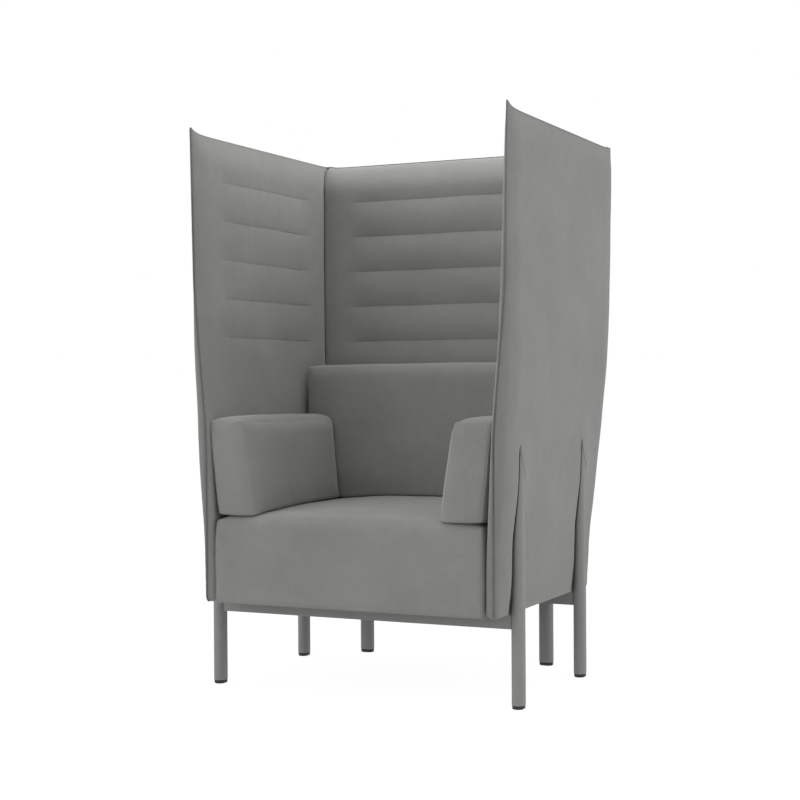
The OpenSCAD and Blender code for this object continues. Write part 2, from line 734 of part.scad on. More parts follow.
// The seat's seams draw its side edges down by this much under the cushion
arm_settle = 2.5;
arm_low = seat_h + seat_crown * (1 - arm_inner_share * arm_inner_share) - arm_settle + soft_gap / 2;
module arm_cushion() {
    length = arm_rear - arm_front;
    mid_x = arm_foot_x - arm_t / 2;
    mid_top_x = arm_head_x - arm_top_t / 2;
    color(fabric)
        translate([mid_x, (arm_front + arm_rear) / 2, arm_low + arm_h / 2])
            rotate([0, 0, -90])
                cushion([length / 2, arm_t / 2, arm_h / 2], cushion_r, cushion_r,
                    [0, 0, cushion_swell], [cushion_swell / 2, cushion_swell / 2, 0],
                    arm_draw, 0, (mid_top_x - mid_x) / arm_h, 1 - arm_top_t / arm_t, arm_rake);
}

module arm_cushion_right() { arm_cushion(); }
module arm_cushion_left() { mirror([1, 0, 0]) arm_cushion(); }

// Core boards: a bent profile cut to the panel's outline
board_low = panel_low + board_inset;
board_high = top_level - board_inset;
board_row_count = 16;
board_rows = [for (i = [0 : board_row_count]) board_low + (board_high - board_low) * i / board_row_count];
function grown_rows(g) = concat([board_low - g], [for (i = [1 : board_row_count - 1]) board_rows[i]],
    [board_high + g]);
function reversed(list) = [for (i = [len(list) - 1 : -1 : 0]) list[i]];

// Extrudes a drawing in X and Z along Y, or one in Y and Z along X
module along_y(low, high) {
    translate([0, high, 0])
        rotate([90, 0, 0])
            linear_extrude(high - low)
                children();
}
module along_x(low, high) {
    translate([low, 0, 0])
        rotate([90, 0, 90])
            linear_extrude(high - low)
                children();
}

module side_board_blank(g) {
    rows = grown_rows(g);
    half_t = board_t / 2 + g;
    intersection() {
        along_y(nose_y, rear_y)
            polygon(concat([for (z = rows) [side_mid_x(z) + half_t, z]],
                reversed([for (z = rows) [side_mid_x(z) - half_t, z]])));
        along_x(0, leg_span)
            polygon(concat([for (z = rows) [back_mid_y(z) + half_t, z]],
                reversed([for (z = rows) [nose_y + board_inset - g, z]])));
    }
}

module back_board_blank(g) {
    rows = grown_rows(g);
    half_t = board_t / 2 + g;
    side = board_t / 2 + fit_gap - g;
    intersection() {
        along_x(-leg_span, leg_span)
            polygon(concat([for (z = rows) [back_mid_y(z) + half_t, z]],
                reversed([for (z = rows) [back_mid_y(z) - half_t, z]])));
        along_y(front_y, rear_y)
            polygon(concat([for (z = rows) [side_mid_x(z) - side, z]],
                reversed([for (z = rows) [side - side_mid_x(z), z]])));
    }
}

// Bolt with its head let into the far side of the board, pointing along +X into the leg
module leg_bolt(gap, clear) {
    head_x = -leg_w / 2 - gap - board_t;
    translate([head_x, 0, 0])
        rotate([0, 90, 0]) {
            translate([0, 0, clear > 0 ? -cut : 0])
                cylinder(r = bolt_head_r + clear, h = bolt_head_h + (clear > 0 ? cut : 0), $fn = fn_round);
            cylinder(r = bolt_r + clear / 2, h = board_t + gap + leg_wall + bolt_grip, $fn = fn_round);
        }
}

module leg_bolt_set(h, gap, clear) {
    for (z = bolt_heights(h))
        translate([0, 0, z])
            leg_bolt(gap, clear);
}

module leg_bolts() {
    color(zinc)
        at_all_legs() {
            leg_bolt_set(side_leg_h, board_foot_gap, 0);
            leg_bolt_set(back_leg_h, back_leg_gap, 0);
        }
}

module spacer_set(h, gap) {
    translate([-leg_w / 2 - gap, 0, 0])
        at_bolts(h)
            difference() {
                cylinder(r = spacer_r, h = gap, $fn = fn_round);
                translate([0, 0, -cut])
                    cylinder(r = bolt_r + fit_gap, h = gap + 2 * cut, $fn = fn_round);
            }
}

module leg_spacers() {
    color(zinc)
        at_all_legs() {
            spacer_set(side_leg_h, board_foot_gap);
            spacer_set(back_leg_h, back_leg_gap);
        }
}

module nut_set(h) {
    translate([-leg_w / 2 + leg_wall, 0, 0])
        at_bolts(h)
            difference() {
                cylinder(r = nut_r, h = nut_l, $fn = fn_round);
                translate([0, 0, -cut])
                    cylinder(r = bolt_r + thread_gap, h = nut_l + 2 * cut, $fn = fn_round);
            }
}

module rivet_nuts() {
    color(zinc)
        at_all_legs() {
            nut_set(side_leg_h);
            nut_set(back_leg_h);
        }
}

// Corner posts tie the side boards to the rear board
post_w = 24;
post_low = board_low;
post_high = board_high;
module corner_post(g) {
    rows = [for (z = board_rows) if (z >= post_low && z <= post_high) z];
    inset = board_t / 2 + fit_gap - g;
    far = board_t / 2 + fit_gap + post_w + g;
    intersection() {
        along_y(front_y, rear_y)
            polygon(concat([for (z = rows) [side_mid_x(z) - inset, z]],
                reversed([for (z = rows) [side_mid_x(z) - far, z]])));
        along_x(0, leg_span)
            polygon(concat([for (z = rows) [back_mid_y(z) - inset, z]],
                reversed([for (z = rows) [back_mid_y(z) - far, z]])));
    }
}

module corner_posts() {
    color(beech)
        for (side = [0, 1])
            mirror([side, 0, 0])
                difference() {
                    corner_post(0);
                    corner_screw_set(fit_gap);
                }
}

// Screws through the side board into each corner post
post_screw_count = 4;
post_screw_l = 24;
module corner_screw_set(clear) {
    for (i = [1 : post_screw_count])
        let (z = board_low + (board_high - board_low) * i / (post_screw_count + 1))
            translate([side_mid_x(z) + board_t / 2 - screw_head_h,
                back_mid_y(z) - board_t / 2 - fit_gap - post_w / 2, z])
                rotate([0, -90, 0]) {
                    translate([0, 0, -(clear > 0 ? board_t : 0)])
                        cylinder(r = screw_head_r + clear,
                            h = screw_head_h + (clear > 0 ? board_t : 0), $fn = fn_round);
                    cylinder(r = screw_r + clear / 2, h = post_screw_l + clear, $fn = fn_round);
                }
}

module corner_screws() {
    color(zinc)
        for (side = [0, 1])
            mirror([side, 0, 0])
                corner_screw_set(0);
}

module side_board() {
    color(plywood)
        difference() {
            side_board_blank(0);
            for (y = [leg_front_y, leg_rear_y])
                at_side_leg(1, y)
                    leg_bolt_set(side_leg_h, board_foot_gap, fit_gap);
            corner_screw_set(fit_gap);
        }
}
module side_board_right() { side_board(); }
module side_board_left() { mirror([1, 0, 0]) side_board(); }

module back_board() {
    color(plywood)
        difference() {
            back_board_blank(0);
            for (side = [-1, 1])
                at_back_leg(side)
                    leg_bolt_set(back_leg_h, back_leg_gap, fit_gap);
        }
}

// Room cut into the padding for a leg and for what fixes it
module leg_room(h, gap) {
    leg_body(leg_w + 2 * soft_gap, leg_l + 2 * soft_gap, 0, h + soft_gap);
    translate([-leg_w / 2 - gap, 0, 0])
        at_bolts(h)
            cylinder(r = spacer_r + soft_gap, h = gap + cut, $fn = fn_round);
}

module side_outer_pad() {
    color(fabric)
        difference() {
            side_pad(outer_rows, true);
            side_board_blank(fit_gap);
            for (y = [leg_front_y, leg_rear_y])
                at_side_leg(1, y)
                    leg_room(side_leg_h, board_foot_gap);
        }
}
module side_outer_pad_right() { side_outer_pad(); }
module side_outer_pad_left() { mirror([1, 0, 0]) side_outer_pad(); }

module side_inner_pad() {
    color(fabric)
        difference() {
            side_pad(inner_rows, false);
            side_board_blank(fit_gap);
            corner_post(fit_gap);
        }
}
module side_inner_pad_right() { side_inner_pad(); }
module side_inner_pad_left() { mirror([1, 0, 0]) side_inner_pad(); }

module back_outer_pad() {
    color(fabric)
        difference() {
            back_pad(outer_rows, true);
            back_board_blank(fit_gap);
            for (side = [0, 1])
                mirror([side, 0, 0])
                    side_board_blank(fit_gap);
            for (side = [-1, 1])
                at_back_leg(side)
                    leg_room(back_leg_h, back_leg_gap);
        }
}

module back_inner_pad() {
    color(fabric)
        difference() {
            back_pad(inner_rows, false);
            back_board_blank(fit_gap);
            for (side = [0, 1])
                mirror([side, 0, 0]) {
                    side_board_blank(fit_gap);
                    corner_post(fit_gap);
                }
        }
}

// Piping: a thin corded bead along the sewn edges
piping_r = 2;
piping_sides = 6;
function tube_ring(p, dir, r) =
    let (d = dir / norm(dir), u0 = abs(d[0]) < 0.9 ? cross(d, [1, 0, 0]) : cross(d, [0, 1, 0]),
         u = u0 / norm(u0), v = cross(d, u))
    [for (i = [0 : piping_sides - 1]) let (a = 360 * i / piping_sides)
        p + r * (cos(a) * u + sin(a) * v)];
module bead(path, r) {
    n = len(path);
    m = piping_sides;
    rings = [for (i = [0 : n - 1])
        each tube_ring(path[i], path[min(i + 1, n - 1)] - path[max(i - 1, 0)], r)];
    faces = concat(
        [for (i = [0 : n - 2], j = [0 : m - 1]) each let (k = (j + 1) % m) [
            [i * m + j, i * m + k, (i + 1) * m + k], [i * m + j, (i + 1) * m + k, (i + 1) * m + j]]],
        [[for (j = [m - 1 : -1 : 0]) j], [for (j = [0 : m - 1]) (n - 1) * m + j]]);
    polyhedron(rings, [for (f = faces) [for (i = [len(f) - 1 : -1 : 0]) f[i]]]);
}

piping_step_count = 12;
piping_lift = piping_r + soft_gap;
piping_top_shares = [0.012, 0.03, 0.06, 0.1, 0.16, 0.3, 0.45, 0.6, 0.75, 0.88, 0.94, 0.97, 0.99];
// Up the front edge, then back along the top edge
side_front_path = [for (i = [0 : piping_step_count])
    let (z = panel_low + corner_r + (overall_h - panel_low - corner_r) * i / piping_step_count)
        [side_mid_x(z), nose_line(z) - piping_lift, z]];
side_top_path = [for (s = piping_top_shares)
    let (y = nose_y + s * (back_mid_y(overall_h) - nose_y), z = side_top(y))
        [side_mid_x(z), y, z + piping_lift]];
module side_piping() { color(fabric_dark) bead(concat(side_front_path, side_top_path), piping_r); }
module side_piping_right() { side_piping(); }
module side_piping_left() { mirror([1, 0, 0]) side_piping(); }

piping_back_shares = [0.985, 0.96, 0.92, 0.8, 0.5];
function back_piping_points(side) = [for (s = piping_back_shares)
    let (x = s * side_mid_x(overall_h), z = back_top(x)) [side * x, back_mid_y(z), z + piping_lift]];
module back_piping() {
    color(fabric_dark)
        bead(concat(back_piping_points(-1), reversed(back_piping_points(1))), piping_r);
}

leg_front_left();
leg_front_right();
leg_rear_left();
leg_rear_right();
leg_back_left();
leg_back_right();
rail_front();
rail_rear();
seat_brackets();
glides();
leg_bolts();
leg_spacers();
rivet_nuts();
side_board_left();
side_board_right();
back_board();
corner_posts();
corner_screws();
side_outer_pad_left();
side_outer_pad_right();
back_outer_pad();
side_inner_pad_left();
side_inner_pad_right();
back_inner_pad();
side_piping_left();
side_piping_right();
back_piping();
seat_box();
webbing_across();
webbing_along();
dust_cover();
seat_screws();
seat_cushion();
back_cushion();
arm_cushion_left();
arm_cushion_right();
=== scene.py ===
"""Acoustic high back lounge chair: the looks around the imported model.

Metres, +Z up, the chair faces -Y. The sizes below are in millimetres and repeat those of
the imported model; they are turned into metres where a mesh is made.
"""
import json
import math
from itertools import product

import bmesh
import bpy
import numpy as np
from mathutils import Matrix, Vector
from mathutils.bvhtree import BVHTree


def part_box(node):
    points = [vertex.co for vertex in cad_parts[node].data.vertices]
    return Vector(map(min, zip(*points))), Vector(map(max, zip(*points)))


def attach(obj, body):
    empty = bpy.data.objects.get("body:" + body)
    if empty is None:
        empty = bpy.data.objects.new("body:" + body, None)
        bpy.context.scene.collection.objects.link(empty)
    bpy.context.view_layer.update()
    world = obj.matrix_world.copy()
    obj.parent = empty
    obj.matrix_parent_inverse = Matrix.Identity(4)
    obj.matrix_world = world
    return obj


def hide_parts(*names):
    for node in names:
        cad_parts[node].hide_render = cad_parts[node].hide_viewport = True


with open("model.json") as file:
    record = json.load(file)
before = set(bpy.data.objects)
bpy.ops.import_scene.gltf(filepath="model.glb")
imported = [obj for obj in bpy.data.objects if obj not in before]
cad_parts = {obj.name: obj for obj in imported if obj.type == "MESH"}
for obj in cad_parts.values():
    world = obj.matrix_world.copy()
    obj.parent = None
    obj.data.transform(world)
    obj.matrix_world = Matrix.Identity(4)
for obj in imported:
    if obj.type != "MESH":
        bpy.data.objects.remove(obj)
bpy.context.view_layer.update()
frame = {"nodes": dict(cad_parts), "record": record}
MM = 0.001
PIECES = []

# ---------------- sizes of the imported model
OVERALL_D, OVERALL_H = 790.0, 1421.0
LEG_W, LEG_L, LEG_X = 30.0, 40.0, 412.0
LEG_FRONT_Y, LEG_REAR_Y = -287.0, 161.0
BACK_LEG_X, SIDE_LEG_H, BACK_LEG_H = 272.8, 620.0, 520.0
RAIL_TOP = 222.0
SOFT_GAP = 0.4
FRONT_Y, REAR_Y = -OVERALL_D / 2, OVERALL_D / 2
FOOT_HALF_W = LEG_X - LEG_W / 2
NOSE_Y = FRONT_Y + 8
PANEL_LOW = RAIL_TOP + SOFT_GAP
RIM_FOOT_T, RIM_TIP_T = 31.0, 6.0
FLARE_W, FLARE_START, FLARE_END, TIP_KICK, KICK_START = 29.5, 345.0, 860.0, 4.5, 1200.0
OUTER_SWELL, INNER_SWELL = 11.0, 8.0
TIP_RISE, CORNER_RISE, TIP_REACH, CORNER_REACH, CORNER_R = 15.0, 6.0, 22.0, 16.0, 15.0
TAPER_START, TAPER_END = 700.0, 1300.0
SEAM_T, BODY_LEAST_T = 1.0, 13.0
BOARD_T, BOARD_LEAN_START, BOARD_LEAN_END = 10.0, 640.0, 1000.0
BOARD_LEAN_W, BOARD_TIP_W = 32.0, 8.0
BOARD_FOOT_X = FOOT_HALF_W - 3 - BOARD_T / 2
BACK_RISE, LEAN_START, LEAN_POWER, BOARD_POWER = 108.0, 340.0, 1.8, 1.6
BACK_BOARD_LEAN_START, BACK_SWELL, BACK_OUTER_T, BACK_INNER_T = BACK_LEG_H, 8.0, 18.0, 47.0
BACK_TOP_Y = REAR_Y - BACK_SWELL - BACK_OUTER_T - SOFT_GAP / 2
BACK_FOOT_Y = BACK_TOP_Y - BACK_RISE
BACK_RIM_FOOT_T = 9.0
BACK_RIM_RISE = BACK_RISE + BACK_OUTER_T - BACK_RIM_FOOT_T
BACK_INNER_LEAN = 90.0
BACK_INNER_FOOT_Y = BACK_FOOT_Y - BACK_INNER_T
LEG_BACK_Y = BACK_FOOT_Y + BOARD_T / 2 + 5 + LEG_W / 2
TOP_LEVEL = OVERALL_H - TIP_RISE
TOP_FOLLOW_START = TOP_LEVEL - 70
EDGE_ROLL, FOOT_ROLL, FRONT_FADE, TOP_FADE, FOOT_FADE = 13.0, 9.0, 62.0, 75.0, 110.0
CORNER_FADE, OUTER_CORNER_FADE, BACK_ROLL, TOP_ROLL = 55.0, 30.0, 26.0, 88.0
LEAN_END = TOP_LEVEL - TOP_FADE
SEAT_FREE_Z, SWELL_RISE = 430.0, 200.0
CHANNEL_COUNT, CHANNEL_LOW, CHANNEL_PITCH, CHANNEL_DEPTH, CHANNEL_PUFF = 5, 893.0, 100.5, 6.0, 2.0
CHANNEL_STOP, BACK_CHANNEL_HALF = 190.0, 325.0
SEAT_HALF_W, SEAT_H, SEAT_CROWN = 363.0, 441.0, 24.0
SEAT_REAR = BACK_INNER_FOOT_Y - 2
SEAT_REACH, CUSHION_TOP, CUSHION_T, CUSHION_SWELL = 474.0, 827.0, 148.0, 9.0
ARM_T, ARM_TOP_T, ARM_H, ARM_FOOT_X, ARM_HEAD_X = 118.0, 92.0, 236.0, 363.0, 374.0
BOX_HALF_W, BOX_FRONT, BOX_REAR = 343.0, FRONT_Y + 26, BACK_INNER_FOOT_Y - 20
BOX_TOP, STRAP_T, STRAP_W, STRAP_PITCH = 323.0, 2.5, 50.0, 75.0


# ---------------- curves of the panels
def ramp(t, soft=0.12):
    """A straight climb from 0 to 1 with rounded ends."""
    t = np.asarray(t, float)
    end = np.where(t < 1 + soft, 1 - (1 + soft - t) ** 2 / (4 * soft), 1.0)
    rise = np.where(t < soft, (t + soft) ** 2 / (4 * soft), np.where(t < 1 - soft, t, end))
    return np.where(t <= -soft, 0.0, rise)


def share(t):
    return np.clip(t, 0.0, 1.0)


def climb(z, start, end):
    return ramp((z - start) / (end - start))


def part(z, start, end):
    return share((z - start) / (end - start))


def quarter(t):
    return np.sqrt(1 - (1 - share(t)) ** 2)


def pillow(t):
    return np.sin(np.pi / 2 * share(t))


def smooth(t):
    t = share(t)
    return t * t * (3 - 2 * t)


def past(x, window):
    """0 before a window, which is its start and its length, and 1 after it."""
    return smooth((x - window[0]) / window[1])


def rim_x(z):
    return (FOOT_HALF_W + FLARE_W * climb(z, FLARE_START, FLARE_END)
            + TIP_KICK * part(z, KICK_START, OVERALL_H) ** 2)


def rim_t(z):
    return RIM_FOOT_T + (RIM_TIP_T - RIM_FOOT_T) * climb(z, TAPER_START, TAPER_END)


def inner_x(z):
    return rim_x(z) - rim_t(z)


def body_extra(z):
    return np.maximum(0.0, BODY_LEAST_T - rim_t(z))


def inner_swell(z):
    """The inner padding's swell, which starts above the seat."""
    return INNER_SWELL * ramp((z - SEAT_FREE_Z) / SWELL_RISE)


def side_mid_x(z):
    return (BOARD_FOOT_X + BOARD_LEAN_W * climb(z, BOARD_LEAN_START, BOARD_LEAN_END)
            + BOARD_TIP_W * part(z, BOARD_LEAN_END, OVERALL_H))


def lean_share(z, low, power):
    return 1 - (1 - part(z, low, LEAN_END)) ** power


def back_mid_y(z):
    return BACK_FOOT_Y + BACK_RISE * lean_share(z, BACK_BOARD_LEAN_START, BOARD_POWER)


def back_rim_y(z):
    lean = lean_share(z, LEAN_START, LEAN_POWER)
    return BACK_FOOT_Y + BACK_RIM_FOOT_T + BACK_RIM_RISE * lean


def back_inner_y(z):
    return BACK_INNER_FOOT_Y + BACK_INNER_LEAN * lean_share(z, LEAN_START, LEAN_POWER)


def rear_meeting_y(z):
    """Where the sides' inner pads end: on the face of the rear one, which rolls back at its top."""
    mid = back_mid_y(z) - SEAM_T
    return mid - (mid - back_inner_y(z)) * quarter((TOP_LEVEL + CORNER_RISE - z) / TOP_ROLL)


def corner_lift(distance):
    """How far the top edge rises towards the rear corners."""
    return CORNER_RISE * np.exp(-np.maximum(0, distance) / CORNER_REACH)


def side_top(y):
    return (TOP_LEVEL + TIP_RISE * np.exp(-(y - NOSE_Y) / TIP_REACH)
            + corner_lift(back_mid_y(OVERALL_H) - y))


def back_top(x):
    return TOP_LEVEL + corner_lift(side_mid_x(OVERALL_H) - np.abs(x))


def follow(z):
    return part(z, TOP_FOLLOW_START, TOP_LEVEL)


def nose_line(z):
    return NOSE_Y + CORNER_R * (1 - quarter((z - PANEL_LOW) / CORNER_R))


def corner_roll(z):
    return quarter((z - PANEL_LOW) / FOOT_ROLL)


def corner_y(z):
    return back_mid_y(z) + SEAM_T + (back_rim_y(z) - back_mid_y(z) - SEAM_T) * corner_roll(z)


def corner_x(z):
    roll = corner_roll(z) * quarter((TOP_LEVEL - z) / BACK_ROLL)
    return side_mid_x(z) + (rim_x(z) - side_mid_x(z)) * roll


def crease_x(z):
    return inner_x(z) - body_extra(z) * pillow((TOP_LEVEL - z) / TOP_FADE)


def waves(points, length, seed, count=16):
    """Smooth even noise of about unit size, the same at each run."""
    rng = np.random.default_rng(seed)
    points = np.asarray(points, float)
    dirs = rng.normal(size=(count, points.shape[-1]))
    dirs /= np.linalg.norm(dirs, axis=1)[:, None]
    freq = 2 * math.pi / length * rng.uniform(0.65, 1.45, count)
    phase = rng.uniform(0, 2 * math.pi, count)
    return np.sin(points @ (dirs * freq[:, None]).T + phase).sum(-1) * math.sqrt(2 / count) * 0.5


# ---------------- mesh helpers
def add_mesh(name, shape, slot, body="chair", replaces=(), seam=None):
    """A piece of the scene from its points and faces, with the painted shade of each point: its
    nearness to a seam, and on the pads also the shade of the legs' slots, the outer front edges and
    the sewn channels.
    """
    verts, faces = shape
    mesh = bpy.data.meshes.new(name)
    mesh.from_pydata([tuple(v) for v in np.asarray(verts, float) * MM], [],
                     [list(map(int, f)) for f in faces])
    mesh.validate()
    bm = bmesh.new()
    bm.from_mesh(mesh)
    bmesh.ops.recalc_face_normals(bm, faces=bm.faces)
    bm.to_mesh(mesh)
    bm.free()
    mesh.polygons.foreach_set("use_smooth", [True] * len(mesh.polygons))
    obj = bpy.data.objects.new(name, mesh)
    bpy.context.scene.collection.objects.link(obj)
    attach(obj, body)
    if replaces:
        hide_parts(*replaces)
    if seam is not None:
        values = np.asarray(seam, np.float32).ravel()
        mesh.attributes.new("seam", "FLOAT", "POINT").data.foreach_set("value", values)
    PIECES.append((obj, slot))
    return obj


def lattice_quads(rows, cols, start=0, flip=False, wrap=False):
    ends = np.arange(rows - 1), np.arange(cols if wrap else cols - 1)
    r, c = np.meshgrid(*ends, indexing="ij")
    a = start + r * cols + c
    b = start + r * cols + (c + 1) % cols
    quads = np.stack([a, b, b + cols, a + cols], -1).reshape(-1, 4)
    return quads[:, ::-1] if flip else quads


def shell(face, back):
    """Closed pad: a face grid, a back grid of the same size, and the strip that joins them."""
    rows, cols = face.shape[:2]
    n = rows * cols
    grid = np.arange(n).reshape(rows, cols)
    ids = np.concatenate([grid[0], grid[1:, -1], grid[-1, -2::-1], grid[-2:0:-1, 0]])
    nxt = np.roll(ids, -1)
    quads = [lattice_quads(rows, cols), lattice_quads(rows, cols, n, True),
             np.stack([ids, ids + n, nxt + n, nxt], -1)]
    return np.concatenate([face.reshape(-1, 3), back.reshape(-1, 3)]), np.concatenate(quads)


def both_sides(points):
    """The same points on the right and, mirrored, on the left."""
    left = np.array(points, float)
    left[..., 0] *= -1
    return ("right", points), ("left", left)


def tube(path, radius, sides=8, closed=False):
    """A swept bead along a path of points; the radius may change along it."""
    p = np.asarray(path, float)
    n = len(p)
    radius = np.broadcast_to(np.asarray(radius, float), (n,))
    t = np.roll(p, -1, 0) - np.roll(p, 1, 0) if closed else np.gradient(p, axis=0)
    t /= np.linalg.norm(t, axis=1)[:, None] + 1e-12
    up = np.array([0.0, 0.0, 1.0]) if abs(t[0][2]) < 0.9 else np.array([1.0, 0.0, 0.0])
    u = np.cross(t[0], up)
    u /= np.linalg.norm(u)
    turn = 2 * np.pi * np.arange(sides) / sides
    cos, sin = np.cos(turn)[:, None], np.sin(turn)[:, None]
    rings = []
    for i in range(n):
        u = u - t[i] * np.dot(u, t[i])
        u /= np.linalg.norm(u) + 1e-12
        rings.append(p[i] + radius[i] * (cos * u + sin * np.cross(t[i], u)))
    quads = list(map(tuple, lattice_quads(n, sides, wrap=True)))
    last = (n - 1) * sides
    if closed:
        quads += [(last + j, last + (j + 1) % sides, (j + 1) % sides, j) for j in range(sides)]
    else:
        quads += [tuple(range(sides)), tuple(last + j for j in range(sides))]
    return np.array(rings).reshape(-1, 3), quads


def join_parts(parts):
    verts, faces, base = [], [], 0
    for v, f in parts:
        verts.append(np.asarray(v, float))
        faces += [tuple(int(i) + base for i in q) for q in f]
        base += len(v)
    return np.concatenate(verts), faces


def lengths(path):
    """The length along a path at each of its points."""
    return np.concatenate([[0], np.cumsum(np.linalg.norm(np.diff(path, axis=0), axis=1))])


def resample(path, step):
    p = np.asarray(path, float)
    s = lengths(p)
    at = np.linspace(0, s[-1], max(2, int(round(s[-1] / step)) + 1))
    return np.stack([np.interp(at, s, p[:, k]) for k in range(3)], 1)


def graded(low, high, count):
    return list(np.linspace(low, high, count + 1)[1:-1])


# ---------------- quilted channels
CHANNELS = [CHANNEL_LOW + i * CHANNEL_PITCH for i in range(CHANNEL_COUNT)]
CHANNEL_FADE, QUILT_START = 60.0, 102.0
STITCH_DIP, STITCH_REACH, CHANNEL_WANDER = 0.5, 2.2, 0.9
SIDE_QUILT, REAR_QUILT = 0.42, 0.9
PUCKER, PUCKER_LENGTH, PUCKER_REACH = 0.55, 17.0, 11.0
# The second number is the reach of the painted shade along the sewn lines.
SEWN_FADE, SEWN_PAINTED_SHADE_REACH = 1 / 1.4, 2.6
SWELLS, DENTS = (0.75, 210.0), (0.22, 62.0)


def quilted(coord, z, along, amount, dark, wander, seed):
    """Quilting of an inner pad, which fades out where along falls to 0: how far the cloth lies back
    at each point, with the gathers at its sewn lines, and the painted shade along those lines."""
    zc = z + CHANNEL_WANDER * waves(coord[..., None], wander, seed)
    k = np.clip(np.round((zc - CHANNEL_LOW) / CHANNEL_PITCH), 0, CHANNEL_COUNT - 1)
    d = np.abs(zc - (CHANNEL_LOW + k * CHANNEL_PITCH))
    inside = (zc > CHANNEL_LOW) & (zc < CHANNELS[-1])
    drop = share(1 - d / (CHANNEL_PITCH / 2)) ** 2
    between = CHANNEL_PUFF - (CHANNEL_DEPTH + CHANNEL_PUFF) * drop
    body = np.where(inside, between, -CHANNEL_DEPTH * drop)
    sewn = -STITCH_DIP * np.exp(-(d / STITCH_REACH) ** 2)
    gather = (PUCKER * waves(np.stack([coord, d * 0.25], -1), PUCKER_LENGTH, seed + 6)
              * np.exp(-(d / PUCKER_REACH)) * smooth(along))
    held = smooth(along / SEWN_FADE)
    depth = amount * body * pillow(along) + sewn * held
    # The second value is painted shade along the sewn lines.
    return gather - depth, dark * np.exp(-(d / SEWN_PAINTED_SHADE_REACH) ** 2) * held


def uneven(points, size, seed):
    return size[0] * waves(points, size[1], seed)


def padding(mid, line, edge, out):
    """The pad's surface: from the seam's line at its edges to the pad's own line inside them."""
    return mid + out * SEAM_T + (line - mid - out * SEAM_T) * edge


EDGE_GATHER, GATHER_LENGTH, GATHER_START, FRONT_GATHER, TOP_GATHER = 0.42, 15.0, 2.5, 9.0, 10.0
EVEN_EDGE, EVEN_REAR, EVEN_SIDE, EVEN_FOOT = 40.0, 20.0, 25.0, 30.0
SEAM_REACH, CORNER_TUCK = 3.0, 6.0


def edge_gathers(distance, reach, along, across, seed):
    """Gathers that a sewn edge pulls into the cloth, square to it."""
    flat = np.stack([along, across * 0.2], -1)
    return np.exp(-distance / reach) * waves(flat, GATHER_LENGTH, seed)


# ---------------- covers round the legs
LEG_COLS = (0, 9, 16, 19.6, 20.5, 20.9, 21.5, 22.6, 24.4, 27, 31, 38)
LEG_REACH = LEG_COLS[-1]
GROOVE_TOP, BACK_GROOVE_TOP = SIDE_LEG_H + 1, BACK_LEG_H + 1
LIP, FRONT_LIP, SLIT_LIP, LIP_DEPTH = 3.0, 15.0, 5.0, 15.0
LEG_ROOM, LIP_START = 0.75, 0.9
SLOT_OPEN, SLOT_NEAR, SLOT_TIP = LEG_L / 2 + LEG_ROOM, 6.5, -16.0
# The last number is the strength of the painted shade in the legs' slots.
HOOD, FLUSH_REACH, FLUSH_BELOW, SLOT_SPARE, SLOT_PAINTED_SHADE = 0.9, 75.0, 0.5, 1.6, 0.5
SLOT_NARROWS, SLOT_ENDS, SLOT_CLOSES = (-250, 190), (-75, 70), (-9, 14)
HOOD_SIDES, HOOD_RISES, HOOD_FALLS = (14, 34), (-105, 45), (6, 90)
FLUSH_RISES, FLUSH_FALLS = (-230, 215), (10, 110)
HOOD_ROWS = (-72, -60, -48, -37, -27, -19, -14, -10, -7, -4, -2, 0, 4, 8, 14, 22, 34, 50)


def slot_end(z, top):
    """How far behind a leg's middle its slot in the cover is open. Upwards the slot closes to a
    slit along the leg's front side."""
    return (SLOT_OPEN + (SLOT_NEAR - SLOT_OPEN) * past(z - top, SLOT_NARROWS)
            + (SLOT_TIP - SLOT_NEAR) * past(z - top, SLOT_ENDS))


def slot_columns(z, top):
    """Columns of the grid beside a leg, from its middle. They follow the end of the slot."""
    cols = sorted({s * d for d in LEG_COLS for s in (-1, 1)})
    places = [-LEG_REACH, -20.5, float(slot_end(z, top)), LEG_REACH]
    return list(np.interp(cols, [-LEG_REACH, -20.5, 20.8, LEG_REACH], places))


def closing(z, top):
    return 1 - past(z - top, SLOT_CLOSES)


def hood(dy, z, surface, cover, top):
    """The cloth closes over a leg's end: how far it rises there to stay in front of the metal."""
    over = 1 - past(np.abs(dy), HOOD_SIDES)
    rise = past(z - top, HOOD_RISES) * (1 - past(z - top, HOOD_FALLS))
    is_open = np.where(dy < slot_end(z, top), closing(z, top), 0)
    return np.maximum(0, cover + HOOD - surface) * over * rise * (1 - is_open)


def flush(dy, z, surface, cover, top):
    """The padding swells round the upper part of a leg until it lies level with the metal."""
    near = np.exp(-(dy / FLUSH_REACH) ** 2)
    rise = past(z - top, FLUSH_RISES) * (1 - past(z - top, FLUSH_FALLS))
    return np.maximum(0, cover - FLUSH_BELOW - surface) * near * rise


def groove_depth(dy, z, surface, bottom, top):
    """How far the cloth dips in and beside the slot for a leg tube that is sunk in the pad."""
    upper = past(z - top, SLOT_NARROWS)
    ahead, after = -dy - LEG_L / 2, dy - slot_end(z, top) + LEG_ROOM
    w = np.maximum(ahead, after)
    width = np.where(ahead > after, FRONT_LIP + (SLIT_LIP - FRONT_LIP) * upper, LIP)
    depth = np.maximum(0, surface - bottom)
    side = np.minimum(depth, LIP_DEPTH) * (1 - quarter((w - LIP_START) / width))
    side = side * np.where(ahead > after, 1, 1 - upper)
    return np.where(w < LEG_ROOM, depth, side) * closing(z, top)


def round_leg(dy, z, surface, cover, top):
    """The cover where a leg is sunk in it, and the painted shade it takes in the slot."""
    surface = surface + flush(dy, z, surface, cover, top)
    dip = groove_depth(dy, z, surface, cover - LEG_W - SLOT_SPARE, top)
    return surface - dip + hood(dy, z, surface, cover, top), share(dip / 10) * SLOT_PAINTED_SHADE


